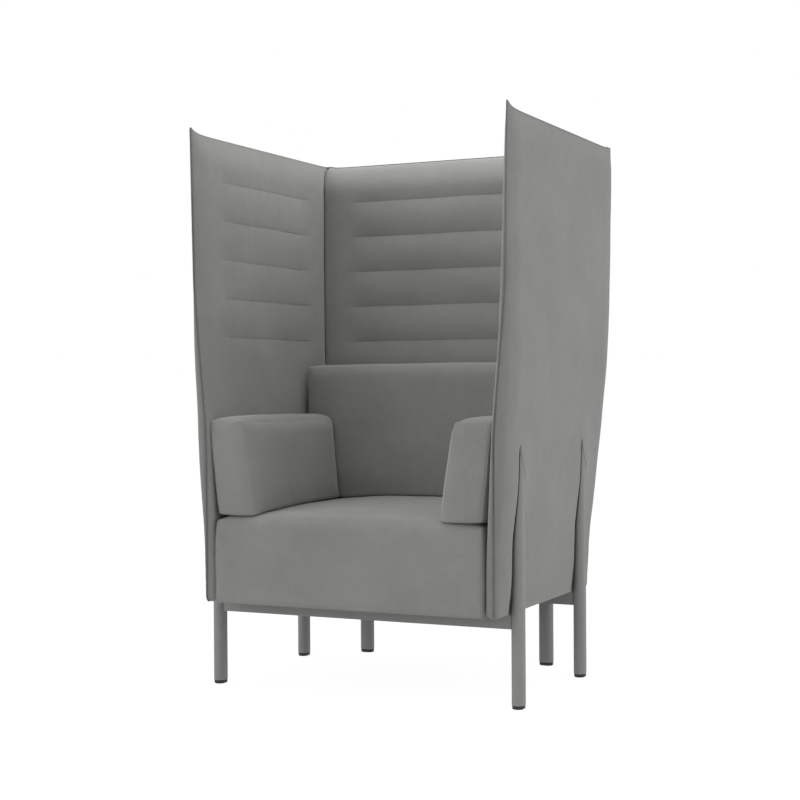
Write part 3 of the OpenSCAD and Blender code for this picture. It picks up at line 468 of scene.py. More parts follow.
# ---------------- pads of the panels
FOOT_ROWS = (0, 0.04, 0.13, 0.27, 0.45, 0.7, 1, 1.6)
TOP_ROWS = (40, 28, 18, 11, 6.5, 3.5, 1.5, 0.4, 0)
CHANNEL_ROWS = (-33, -24, -16, -10, -6, -3.2, -1.5, 0, 1.5, 3.2, 6, 10, 16, 24, 33)
LEAST_ROW, ROW_COUNTS = 0.35, {"outer": 96, "below": 42, "above": 4}
SIDE_COUNTS, BACK_COUNTS, INNER_START = (30, 54), (16, 30), 140.0
# The third and fourth numbers: strength and reach of the painted shade along the outer pads' front
# edges.
TUCK_OUT, TUCK_IN, FRONT_PAINTED_SHADE, FRONT_PAINTED_SHADE_REACH = 3.5, 3.0, 0.35, 38.0
# Strengths of the painted shade along the sewn channel lines of the side and rear pads.
SIDE_SEWN_PAINTED_SHADE, REAR_SEWN_PAINTED_SHADE = 0.12, 0.2
SIDE_COVER, BACK_COVER = LEG_X + LEG_W / 2, LEG_BACK_Y + LEG_W / 2
MITRE_REACH = 60.0


def pad_rows(outer, leg_top):
    """Heights of a pad's rows: close together at its edges, round the legs' ends and channels."""
    rows = [PANEL_LOW + FOOT_ROLL * s for s in FOOT_ROWS] + [TOP_LEVEL - s for s in TOP_ROWS]
    low, high = PANEL_LOW + 16, TOP_LEVEL - TOP_ROWS[0]
    if outer:
        rows += [leg_top + s for s in HOOD_ROWS] + graded(low, high, ROW_COUNTS["outer"])
    else:
        edge = CHANNEL_ROWS[-1]
        rows += [c + s for c in CHANNELS for s in CHANNEL_ROWS]
        rows += graded(low, CHANNEL_LOW - edge, ROW_COUNTS["below"])
        rows += [(a + b) / 2 + s for a, b in zip(CHANNELS[:-1], CHANNELS[1:]) for s in (-8, 8)]
        rows += graded(CHANNELS[-1] + edge, high, ROW_COUNTS["above"])
    rows.sort()
    kept = rows[:1]
    for r in rows[1:]:
        if r - kept[-1] > LEAST_ROW:
            kept.append(r)
    return np.array(kept)


def side_columns(rows, outer):
    """Places of a side pad's points from front to rear, at each height."""
    near = (0, 0.25, 0.9, 2.0, 3.6, 5.8, 8.6, 12, 17, 24, 33) + ((43, 53) if outer else (44, 55))
    if outer:
        start = LEG_REAR_Y + LEG_REACH
        tail, end = np.linspace(0, 1, 12)[1:-3], (22, 14, 8, 4, 1.6, 0.4, 0)
    else:
        start = INNER_START
        fixed = graded(NOSE_Y + 60, start, SIDE_COUNTS[1])
        tail, end = np.linspace(0, 1, 9)[1:-2], (26, 18, 12, 7.5, 4.2, 1.8, 0.5, 0)
    grid = []
    for z in rows:
        rear = (corner_y(z) if outer else rear_meeting_y(z)) - SOFT_GAP / 2
        nose = float(nose_line(z))
        if outer:
            legs = slot_columns(z, GROOVE_TOP)
            between = graded(LEG_FRONT_Y + LEG_REACH, LEG_REAR_Y - LEG_REACH, SIDE_COUNTS[0])
            fixed = [LEG_FRONT_Y + d for d in legs] + between + [LEG_REAR_Y + d for d in legs]
        grid.append([nose + d * (1 - (nose - NOSE_Y) / 62) for d in near] + fixed
                    + [start + s * (rear - end[0] - start) for s in tail] + [rear - e for e in end])
    return np.array(grid, float)


def side_face(rows, outer):
    """Grid of points on the right panel's outer or inner face, and its painted shade: nearness to
    the seams, plus shade in the legs' slots and along the front edge outside, and along the sewn
    channels inside.
    """
    y = side_columns(rows, outer)
    zz = np.repeat(rows[:, None], y.shape[1], 1)
    top = side_top(y)
    z = zz + (top - TOP_LEVEL) * follow(zz)
    rear = (corner_y(zz) if outer else rear_meeting_y(zz)) - SOFT_GAP / 2
    d_front, d_top, d_rear, d_foot = y - nose_line(zz), top - z, rear - y, z - PANEL_LOW
    edge = quarter(d_front / EDGE_ROLL) * quarter(d_foot / FOOT_ROLL)
    if outer:
        swell = (OUTER_SWELL * pillow(d_front / FRONT_FADE) * pillow(d_foot / FOOT_FADE)
                 * pillow(d_top / TOP_FADE) * pillow((back_rim_y(z) - y) / OUTER_CORNER_FADE))
    else:
        swell = ((body_extra(z) + inner_swell(z) * pillow(d_rear / CORNER_FADE))
                 * pillow(d_front / FRONT_FADE) * pillow(d_top / TOP_FADE))
    out = 1.0 if outer else -1.0
    x = padding(side_mid_x(z), rim_x(z) if outer else inner_x(z), edge, out) + out * swell
    flat = np.stack([y, z], -1)
    body = (smooth(d_front / EVEN_EDGE) * smooth(d_top / EVEN_EDGE) * smooth(d_rear / EVEN_REAR)
            * smooth(d_foot / EVEN_FOOT))
    x = x + out * body * (uneven(flat, SWELLS, 11 + outer) + uneven(flat, DENTS, 13 + outer))
    pucker = (edge_gathers(d_front, FRONT_GATHER, z, y, 17)
              + edge_gathers(d_top, TOP_GATHER, y, z, 19))
    held = smooth(d_front / GATHER_START) * smooth(d_top / GATHER_START)
    x = x + out * EDGE_GATHER * pucker * held
    # Painted shade: the cloth darkens close to the front, top and rear seams.
    seam = sum(np.exp(-d / SEAM_REACH) for d in (d_front, np.maximum(d_top, 0), d_rear))
    if outer:
        for leg_y in (LEG_FRONT_Y, LEG_REAR_Y):
            # round_leg also gives painted shade in each leg's slot.
            x, dark = round_leg(y - leg_y, z, x, SIDE_COVER, GROOVE_TOP)
            seam = seam + dark
        # Painted shade: the cloth is darkened in a band along the outer face's front edge.
        seam = seam + FRONT_PAINTED_SHADE * np.exp(-(d_front / FRONT_PAINTED_SHADE_REACH) ** 2)
        x = x - TUCK_OUT * (1 - quarter(d_rear / CORNER_TUCK))
    else:
        along = np.minimum(y - FRONT_Y - QUILT_START, REAR_Y - CHANNEL_STOP - y) / CHANNEL_FADE
        lift, dark = quilted(y, z, along, SIDE_QUILT, SIDE_SEWN_PAINTED_SHADE, 300.0, 23)
        x, seam = x + lift + TUCK_IN * (1 - quarter(d_rear / CORNER_TUCK)), seam + dark
    return np.stack([x, y, z], -1), seam


def back_columns(rows, outer):
    """Places of the rear pad's points across the panel, at each height."""
    near = (0, 0.4, 1.4, 3.2, 6, 9.5, 14, 20, 28, 38, 50)
    grid = []
    for z in rows:
        half = float((corner_x(z) if outer else crease_x(z)) - SOFT_GAP)
        reach = half - near[-1]
        right = [half - d for d in near]
        if outer:
            legs = [BACK_LEG_X + d for d in slot_columns(z, BACK_GROOVE_TOP)][::-1]
            right += [reach + (legs[0] - reach) * s for s in (0.25, 0.5, 0.75)] + legs
            right += list(np.linspace(legs[-1], 0, BACK_COUNTS[0])[1:-1])
        else:
            right += list(np.linspace(reach, 0, BACK_COUNTS[1])[1:-1])
        grid.append([-v for v in right] + [0.0] + right[::-1])
    return np.array(grid, float)


def back_face(rows, outer):
    """Grid of points on the rear panel's outer or inner face, and its painted shade: nearness to
    the seams, plus shade in the legs' slots outside and along the sewn channels inside.
    """
    x = back_columns(rows, outer)
    zz = np.repeat(rows[:, None], x.shape[1], 1)
    top = back_top(x)
    z = zz + (top - TOP_LEVEL) * follow(zz)
    half = (corner_x(zz) if outer else crease_x(zz)) - SOFT_GAP
    d_top, d_foot, d_side = top - z, z - PANEL_LOW, half - np.abs(x)
    edge = quarter(d_foot / FOOT_ROLL) * quarter(d_top / (BACK_ROLL if outer else TOP_ROLL))
    # Painted shade: the cloth darkens close to the top and side seams.
    seam = sum(np.exp(-d / SEAM_REACH) for d in (np.maximum(d_top, 0), d_side))
    flat = np.stack([x, z], -1)
    body = smooth(d_top / EVEN_EDGE) * smooth(d_side / EVEN_SIDE) * smooth(d_foot / EVEN_FOOT)
    rough = body * (uneven(flat, SWELLS, 41 + outer) + uneven(flat, DENTS, 43 + outer))
    gathers = edge_gathers(d_top, TOP_GATHER, x, z, 47)
    pucker = EDGE_GATHER * gathers * smooth(d_top / GATHER_START)
    if outer:
        y = (padding(back_mid_y(z), back_rim_y(z), edge, 1)
             + BACK_SWELL * pillow((rim_x(z) - np.abs(x)) / OUTER_CORNER_FADE)
             * pillow(d_foot / FOOT_FADE) * pillow(d_top / TOP_FADE)) + rough + pucker
        y, dark = round_leg(np.abs(x) - BACK_LEG_X, z, y, BACK_COVER, BACK_GROOVE_TOP)
        y = y - TUCK_OUT * (1 - quarter(d_side / CORNER_TUCK))
    else:
        y = (padding(back_mid_y(z), back_inner_y(z), edge, -1)
             - inner_swell(z) * pillow((crease_x(z) - np.abs(x)) / CORNER_FADE)
             * pillow(d_top / TOP_FADE))
        along = (BACK_CHANNEL_HALF - np.abs(x)) / CHANNEL_FADE
        lift, dark = quilted(x, z, along, REAR_QUILT, REAR_SEWN_PAINTED_SHADE, 320.0, 53)
        y = y + lift - rough - pucker + TUCK_IN * (1 - quarter(d_side / CORNER_TUCK))
    # dark is painted shade: in the legs' slots on the outer face, along the sewn lines on the inner
    # face.
    return np.stack([x, y, z], -1), seam + dark


def hidden(line, face, outer):
    """The pad's hidden side: on the line of the seam between the pads, but behind its face."""
    return np.minimum(line + 0.25, face - 0.15) if outer else np.maximum(line - 0.25, face + 0.15)


def hidden_z(z):
    return np.minimum(z, TOP_LEVEL - 3 + 0.6 * (z - TOP_LEVEL))


def side_back(face, outer):
    x, y, z = np.moveaxis(face, -1, 0)
    last = y[:, -1:]
    y = y + (back_mid_y(z) - SOFT_GAP / 2 - last) * smooth(1 - (last - y) / MITRE_REACH)
    return np.stack([hidden(side_mid_x(z), x, outer), y, hidden_z(z)], -1)


def back_back(face, outer):
    x, y, z = np.moveaxis(face, -1, 0)
    last = np.abs(x[:, :1])
    spread = (side_mid_x(z) - 2 * SOFT_GAP - last) * smooth(1 - (last - np.abs(x)) / MITRE_REACH)
    return np.stack([x + np.sign(x) * spread, hidden(back_mid_y(z), y, outer), hidden_z(z)], -1)


def make_pads(rear):
    """The outer and the inner covers of the rear panel or of the sides; gives the inner face."""
    for outer, word in ((True, "outer"), (False, "inner")):
        rows = pad_rows(outer, BACK_GROOVE_TOP if rear else GROOVE_TOP)
        face, seam = (back_face if rear else side_face)(rows, outer)
        verts, quads = shell(face, (back_back if rear else side_back)(face, outer))
        for name, points in (("rear", verts),) if rear else both_sides(verts):
            node = f"back_{word}_pad" if rear else f"side_{word}_pad_{name}"
            obj = add_mesh(f"{word}_panel_cover_{name}", (points, quads),
                           "shell_fabric" if outer else "inner_fabric", replaces=[node],
                           seam=[seam, seam])
    return face


# ---------------- sewn edges and stitches
# Size and sinking of the dark strips that stand in the legs' slits as painted shade.
SHADE_STRIP_R, SHADE_STRIP_SINK = 3.0, 2.0
WELT_R, WELT_STEP, WELT_LIFT, WELT_AHEAD = 1.75, 3.4, 1.2, 1.6
CREASE_DEPTH, CREASE_R = 7.5, 6.0
THREAD_R, STITCH_L, STITCH_GAP, FINE_STEP = 0.34, 3.3, 1.5, 0.4


def make_slot_shade_strips():
    """A dark strip in the slit along the front of each side leg, as painted shade where the cover's
    slot lies in shade.
    """
    zs = np.linspace(PANEL_LOW + 6, SIDE_LEG_H - 4, 60)
    radius = SHADE_STRIP_R * np.minimum(1, (SIDE_LEG_H - zs) / 20 + 0.2)
    for leg_y, place in ((LEG_FRONT_Y, "front"), (LEG_REAR_Y, "rear")):
        far = pillow((leg_y - LEG_L / 2 - NOSE_Y) / FRONT_FADE)
        out = rim_x(zs) + OUTER_SWELL * far * pillow((zs - PANEL_LOW) / FOOT_FADE)
        out = out + flush(-LEG_L / 2, zs, out, SIDE_COVER, GROOVE_TOP) - SHADE_STRIP_SINK
        path = np.stack([out, np.full_like(zs, leg_y - LEG_L / 2 - SHADE_STRIP_R - 0.3), zs], 1)
        for side, p in both_sides(path):
            add_mesh(f"slot_binding_{place}_{side}", tube(p, radius), "webbing")


def covered_cord(path, seed):
    """A welt: slightly uneven where the stitches hold it."""
    s = lengths(path)
    uneven = 0.05 * np.sin(2 * np.pi * s / 7.5) + 0.05 * waves(s[:, None], 31.0, seed)
    return tube(path, WELT_R * (1 + uneven))


def make_piping():
    """The sewn edge between the outer and the inner padding."""
    zs = np.concatenate([PANEL_LOW + np.array([1.5, 3, 5, 8, 12]),
                         np.linspace(PANEL_LOW + 17, OVERALL_H - 1, 170)])
    front = np.stack([side_mid_x(zs), nose_line(zs) - WELT_AHEAD, zs], 1)
    along = np.concatenate([np.geomspace(0.0015, 0.1, 26), np.linspace(0.12, 0.94, 56),
                            1 - np.geomspace(0.05, 0.006, 14)])
    ys = NOSE_Y + along * (back_mid_y(OVERALL_H) - NOSE_Y)
    tops = side_top(ys)
    top = np.stack([side_mid_x(tops), ys, tops + WELT_LIFT], 1)
    for side, p in both_sides(resample(np.concatenate([front, top]), WELT_STEP)):
        add_mesh(f"panel_welt_{side}", covered_cord(p, 61), "piping_fabric",
                 replaces=[f"side_piping_{side}"])
    xs = np.concatenate([-(1 - np.geomspace(0.004, 0.1, 22)), np.linspace(-0.88, 0.88, 90),
                         1 - np.geomspace(0.1, 0.004, 22)]) * side_mid_x(OVERALL_H)
    tops = back_top(xs)
    path = resample(np.stack([xs, back_mid_y(tops), tops + WELT_LIFT], 1), WELT_STEP)
    add_mesh("panel_welt_rear", covered_cord(path, 67), "piping_fabric", replaces=["back_piping"])


def make_corner_seams():
    """A covered cord sewn deep in each inner corner, where the side and rear pads meet."""
    zs = np.linspace(PANEL_LOW + 12, TOP_LEVEL - 2, 90)
    across = side_mid_x(zs) - crease_x(zs)
    along = back_mid_y(zs) - rear_meeting_y(zs)
    scale = np.minimum(CREASE_DEPTH / np.hypot(across, along), 0.5)
    path = np.stack([crease_x(zs) + across * scale, rear_meeting_y(zs) + along * scale, zs], 1)
    radius = CREASE_R * np.minimum(1, (TOP_LEVEL - zs) / 60 + 0.3)
    for side, p in both_sides(path):
        add_mesh(f"corner_cord_{side}", tube(p, radius), "piping_fabric")


def stitch(a, b, lift):
    """One short thread from a to b, sunk at its ends and lifted in its middle."""
    t = np.array([0.0, 0.12, 0.5, 0.88, 1.0])
    rise = np.array([-0.5, 0.2, 0.55, 0.2, -0.5]) * THREAD_R * 2
    path = a + (b - a) * t[:, None] + np.asarray(lift, float) * rise[:, None]
    return tube(path, THREAD_R * np.array([0.45, 0.95, 1.0, 0.95, 0.45]), 5)


def stitches(face, normal, distance):
    """Stitches along the sewn lines of a face, on its rows nearest to them. They stop a little
    before the channels' ends; distance says how far inside a point is."""
    heights = face[:, :, 2].mean(1)
    step = int(round((STITCH_L + STITCH_GAP) / FINE_STEP))
    size = int(round(STITCH_L / FINE_STEP))
    parts = []
    for c in CHANNELS:
        line = face[int(np.argmin(np.abs(heights - c)))]
        fine = resample(line[distance(line) > 8], FINE_STEP)
        parts += [stitch(fine[i], fine[i + size], normal)
                  for i in range(0, len(fine) - size - 1, step)]
    return join_parts(parts)


def make_channel_stitches(side_inner, back_inner):
    def within_side(line):
        y = line[:, 1]
        return np.minimum(y - FRONT_Y - QUILT_START, REAR_Y - CHANNEL_STOP - y)

    verts, faces = stitches(side_inner, (-1, 0, 0), within_side)
    for side, points in both_sides(verts):
        add_mesh(f"channel_stitches_{side}", (points, faces), "piping_fabric")
    shape = stitches(back_inner, (0, -1, 0), lambda line: BACK_CHANNEL_HALF - np.abs(line[:, 0]))
    add_mesh("channel_stitches_rear", shape, "piping_fabric")


# ---------------- cushions
BOX_EDGES = [(axis, a, b) for axis in range(3) for a in (-1, 1) for b in (-1, 1)]
EDGE_HOLD, GATHER_REACH, COVER_SEAM_REACH = 24.0, 22.0, 4.0
EVEN_REACH, EVEN_TURNS = 48.0, 14
CUSHION_SWELLS, CUSHION_DENTS, CUSHION_GATHERS = (0.9, 170.0), (0.3, 55.0), (0.7, 26.0)
CLOTH_FRAMES = 20
CLOTH = {"quality": 4, "mass": 0.3, "tension_stiffness": 20, "compression_stiffness": 20,
         "shear_stiffness": 8, "bending_stiffness": 0.6, "use_pressure": True,
         "uniform_pressure_force": 4.0}
REST_GAP, MOST_SETTLE, PRESSED_H, PRESSED_SHARE = 0.35, 7.0, 14.0, 0.45
FRONT_TOP_CORNERS = [(-1, -1, 1), (1, -1, 1)]


def others(axis):
    return [x for x in range(3) if x != axis]


def axis_marks(half, radius, step):
    """Places along one axis of a rounded box, closer together round its edges."""
    turn = [radius * math.tan(math.radians(a)) for a in (0, 15, 30, 45)]
    flat = half - radius
    inner = list(np.linspace(-flat, flat, max(2, int(math.ceil(2 * flat / step))) + 1))
    return np.array([-(flat + t) for t in turn[:0:-1]] + inner + [flat + t for t in turn[1:]])


def box_lattice(half, radius, step):
    """Surface of a rounded box as quads, with each point's place on the unrounded box."""
    marks = [axis_marks(h, radius, step) for h in half]
    index, points, quads = {}, [], []

    def vert(key):
        if key not in index:
            index[key] = len(points)
            points.append([m[i] for m, i in zip(marks, key)])
        return index[key]

    for axis in range(3):
        a, b = others(axis)
        last = [len(m) - 1 for m in marks]
        for end, i, j in product((0, last[axis]), range(last[a]), range(last[b])):
            corner = []
            for di, dj in ((0, 0), (1, 0), (1, 1), (0, 1)):
                c = [0, 0, 0]
                c[axis], c[a], c[b] = end, i + di, j + dj
                corner.append(vert(tuple(c)))
            quads.append(tuple(corner))
    p, h = np.array(points), np.array(half)
    core = np.clip(p, -(h - radius), h - radius)
    d = p - core
    length = np.linalg.norm(d, axis=1)[:, None]
    rounded = core + np.where(length > 1e-9, d / np.maximum(length, 1e-9) * radius, 0)
    return rounded, np.array(quads), p / h


def read_points(mesh, key="co"):
    values = np.empty(len(mesh.vertices) * 3)
    mesh.vertices.foreach_get(key, values)
    return values.reshape(-1, 3)


def set_points(obj, points):
    obj.data.vertices.foreach_set("co", (np.asarray(points, float) * MM).ravel())
    obj.data.update()


def inflate(obj, cap):
    """Blender's cloth blows the cover up a little; no point moves further than the cap."""
    rest = read_points(obj.data)
    mod = obj.modifiers.new("cloth", "CLOTH")
    for key, value in CLOTH.items():
        setattr(mod.settings, key, value)
    mod.settings.effector_weights.gravity = 0
    mod.point_cache.frame_start, mod.point_cache.frame_end = 1, CLOTH_FRAMES
    scene = bpy.context.scene
    for f in range(1, CLOTH_FRAMES + 1):
        scene.frame_set(f)
    moved = read_points(obj.evaluated_get(bpy.context.evaluated_depsgraph_get()).data)
    obj.modifiers.remove(mod)
    scene.frame_set(1)
    d = moved - rest
    d -= d.mean(0)
    length = np.linalg.norm(d, axis=1)[:, None]
    d *= np.minimum(1, cap * MM / np.maximum(length, 1e-9))
    return (rest + d) / MM


def fit_to(q, node, spare):
    """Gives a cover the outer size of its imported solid, less a little room for the simulation."""
    low, high = (np.array(v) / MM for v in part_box(node))
    low, high = low + spare, high - np.array(spare)
    a, b = q.min(0), q.max(0)
    return low + (q - a) * (high - low) / (b - a)


def edge_distance(u, half, lines):
    """Distance to the nearest of some edges of a box. Each edge is named by its axis and the
    signs of the other two."""
    best = np.full(len(u), 1e9)
    p = u * np.array(half)
    for axis, sa, sb in lines:
        a, b = others(axis)
        best = np.minimum(best, np.hypot(half[a] - sa * p[:, a], half[b] - sb * p[:, b]))
    return best


def edge_curve(u, chain):
    """Points of the lattice that lie on the box edges named in chain, in order."""
    path = []
    for axis, sa, sb, forward in chain:
        a, b = others(axis)
        on = np.where((np.abs(u[:, a] - sa) < 1e-6) & (np.abs(u[:, b] - sb) < 1e-6))[0]
        order = on[np.argsort(u[on, axis])]
        path += list(order if forward else order[::-1])
    return list(dict.fromkeys(path))


def soften(p, half, edges):
    """Gives some edges of the box, named as above, a larger radius."""
    p = p.copy()
    for axis, sa, sb, r in edges:
        a, b = others(axis)
        da, db = sa * p[:, a] - (half[a] - r), sb * p[:, b] - (half[b] - r)
        over = (da > 0) & (db > 0)
        k = np.where(over, np.minimum(1, r / np.maximum(np.hypot(da, db), 1e-9)), 1)
        p[over, a] = (sa * (half[a] - r + da * k))[over]
        p[over, b] = (sb * (half[b] - r + db * k))[over]
    return p


def relax(p, quads, half, corners):
    """Evens out some corners of the box: points move towards the mean of their neighbours."""
    a, b = quads.ravel(), np.roll(quads, 1, 1).ravel()
    count = np.bincount(a, minlength=len(p)) + np.bincount(b, minlength=len(p))
    weight = np.zeros(len(p))
    for corner in corners:
        away = np.linalg.norm(p - np.array(half) * corner, axis=1)
        weight = np.maximum(weight, 0.5 * np.exp(-(away / EVEN_REACH) ** 2))
    for _ in range(EVEN_TURNS):
        total = np.zeros_like(p)
        np.add.at(total, a, p[b])
        np.add.at(total, b, p[a])
        p = p + (total / count[:, None] - p) * weight[:, None]
    return p


def cushion(name, node, body, half, radius, step, shape, rest, cap, bulge, seams, seed,
            soft, corners, spare):
    """A stuffed cushion: a rounded box, shaped, blown up by cloth simulation with its edges held,
    made uneven, with gathers along its seams, and set down where it rests."""
    p, quads, u = box_lattice(half, radius, step)
    p = relax(soften(p, half, soft), quads, half, corners)
    crown = 1 - u ** 2
    for axis in range(3):
        a, b = others(axis)
        face = u[:, axis]
        p[:, axis] += np.sign(face) * np.abs(face) ** 3 * bulge * crown[:, a] * crown[:, b]
    p = fit_to(shape(p, u), node, spare)
    near = edge_distance(u, half, seams)
    # The seam attribute darkens the cover along its seams, as painted shade.
    obj = add_mesh(name, (p, quads), "seat_fabric", body=body, replaces=[node],
                   seam=np.exp(-near / COVER_SEAM_REACH))
    free = 1 - np.exp(-edge_distance(u, half, BOX_EDGES) / EDGE_HOLD)
    q = p + (inflate(obj, cap) - p) * free[:, None]
    set_points(obj, q)
    amount = (uneven(q, CUSHION_SWELLS, seed) + uneven(q, CUSHION_DENTS, seed + 1)
              + np.exp(-near / GATHER_REACH) * uneven(q, CUSHION_GATHERS, seed + 2))
    q = rest(q + read_points(obj.data, "normal") * amount[:, None], u)
    set_points(obj, q)
    mod = obj.modifiers.new("subdivision", "SUBSURF")
    mod.levels = mod.render_levels = 1
    return obj, q, u


def seam_ridge(name, q, u, chain, radius, body="chair", closed=True, step=4.0):
    """A sewn seam that follows the cushion's own edge."""
    path = q[edge_curve(u, chain)]
    for _ in range(2):
        even = (np.roll(path, 1, 0) + 2 * path + np.roll(path, -1, 0)) / 4
        path = even if closed else np.concatenate([path[:1], even[1:-1], path[-1:]])
    path = resample(np.concatenate([path, path[:1]]), step)[:-1] if closed else resample(path, step)
    beads = 1 + 0.06 * np.sin(2 * np.pi * np.arange(len(path)) * step / 8.0)
    add_mesh(name, tube(path, radius * beads, 8, closed), "seat_fabric", body=body)


def settle_on(q, u, tree, reach):
    """Lets a cushion's underside follow the surface below it; this fades out up its sides."""
    q = q.copy()
    low = q[:, 2].min()
    rise = q[:, 2] - low
    pressed = rise * (PRESSED_SHARE + (1 - PRESSED_SHARE) * rise / PRESSED_H)
    q[:, 2] = low + np.where(rise < PRESSED_H, pressed, rise)
    weight = 1 - smooth((u[:, 2] + 1) / reach)
    for i in np.where(weight > 0)[0]:
        x = float(np.clip(q[i][0], -SEAT_HALF_W + 4, SEAT_HALF_W - 4))
        y = float(np.clip(q[i][1], FRONT_Y + 5, SEAT_REAR - 4))
        hit = tree.ray_cast(Vector((x * MM, y * MM, 1.2)), Vector((0, 0, -1)))
        if hit[0] is not None:
            level = hit[0].z / MM + REST_GAP
            q[i][2] = max(q[i][2] + weight[i] * max(level - low, -MOST_SETTLE), level)
    return q


def make_seat():
    """One block of foam, covered; its front and top are one panel between two side seams."""
    half = (SEAT_HALF_W - 1.5, (SEAT_REAR - FRONT_Y - 3) / 2 - 1.5, (SEAT_H - PANEL_LOW) / 2 - 1)

    def shape(q, u):
        a, b, c = u.T
        bt = np.where(b < 0.25, (b - 0.25) / 1.25, 0)
        q[:, 2] += share(c) ** 2 * SEAT_CROWN * (1 - a ** 2) * (1 - bt ** 2)
        q[:, 1] -= share(-b) ** 2 * 2.0 * (1 - a ** 4) * (1 - c ** 2)
        return q + [0, (FRONT_Y + 3 + SEAT_REAR) / 2, (PANEL_LOW + SEAT_H) / 2]

    def rest(q, u):
        low = PANEL_LOW + 0.3
        q[:, 2] = np.where(u[:, 2] < -0.9999, low, np.maximum(q[:, 2], low))
        q[:, 0] = np.clip(q[:, 0], -SEAT_HALF_W - 1.7, SEAT_HALF_W + 1.7)
        q[:, 1] = np.clip(q[:, 1], FRONT_Y - 1.5, SEAT_REAR + 1)
        return q

    obj, q, u = cushion(
        "seat_cover", "seat_cushion", "chair", half, 13.0, 12.0, shape, rest, cap=3.0, bulge=1.0,
        seams=[(2, -1, -1), (2, 1, -1), (1, -1, 1), (1, 1, 1)], seed=71,
        soft=[(0, -1, 1, 34), (1, -1, 1, 26), (1, 1, 1, 26)], corners=FRONT_TOP_CORNERS,
        spare=(-1.2, -0.4, 0))
    for sign, word in ((-1, "left"), (1, "right")):
        chain = [(2, sign, -1, True), (1, sign, 1, True)]
        seam_ridge(f"seat_seam_{word}", q, u, chain, 1.2, closed=False)
    return obj


BACK_SPREAD = 0.025
SEAT_SURFACE = SEAT_H + SEAT_CROWN - 1.3


def make_back_cushion(seat_tree):
    """The back cushion leans back on the rear panel."""
    half = (SEAT_HALF_W - 2, CUSHION_T / 2 - 3, (CUSHION_TOP - SEAT_SURFACE) / 2 - 1)

    def shape(q, u):
        half_z = (CUSHION_TOP - SEAT_SURFACE) / 2
        up = share((q[:, 2] + half_z) / (2 * half_z))
        q[:, 1] = q[:, 1] * (1 + 0.06 * up) + 0.085 * (q[:, 2] + half_z)
        q[:, 2] += share(u[:, 2]) ** 2 * 4 * (1 - u[:, 0] ** 2) * (1 - u[:, 1] ** 2)
        return q + [0, FRONT_Y + SEAT_REACH + CUSHION_T / 2, (SEAT_SURFACE + CUSHION_TOP) / 2]

    def rest(q, u):
        z = q[:, 2]
        up = share((z - SEAT_H) / (CUSHION_TOP - SEAT_H))
        side = inner_x(z) - body_extra(z) - inner_swell(z) - 1.8
        q[:, 0] = np.clip(q[:, 0] * (1 + BACK_SPREAD * up ** 1.5), -side, side)
        q[:, 1] = np.minimum(q[:, 1], back_inner_y(z) - inner_swell(z) - 1.5)
        return settle_on(q, u, seat_tree, 0.25)

    obj, q, u = cushion(
        "back_cushion_cover", "back_cushion", "chair", half, 12.0, 12.0, shape, rest, cap=5.0,
        bulge=2.0, seams=[(0, 1, -1), (0, 1, 1), (2, -1, 1), (2, 1, 1)], seed=81,
        soft=[(0, -1, 1, 26), (2, -1, -1, 20), (2, 1, -1, 20), (1, -1, 1, 20), (1, 1, 1, 20)],
        corners=FRONT_TOP_CORNERS, spare=(-2.5, 0.5, -0.5))
    chain = [(0, 1, -1, True), (2, 1, 1, True), (0, 1, 1, False), (2, -1, 1, False)]
    seam_ridge("back_cushion_seam_rear", q, u, chain, 1.1)


ARM_SPREAD, ARM_REAR_SPREAD, ARM_INWARD, ARM_LEAN = 13.0, 7.0, 8.0, 0.06
ARM_REAR = FRONT_Y + SEAT_REACH - CUSHION_SWELL / 2 - 1
ARM_FRONT = NOSE_Y + 4
ARM_SHARE = (ARM_FOOT_X - ARM_T + 26) / SEAT_HALF_W
ARM_LOW = SEAT_H + SEAT_CROWN * (1 - ARM_SHARE ** 2) - 2.3
ARM_SOFT = [(2, -1, -1, 46), (2, 1, -1, 18), (2, -1, 1, 20), (1, -1, 1, 40), (0, -1, 1, 28),
            (0, 1, 1, 20)]


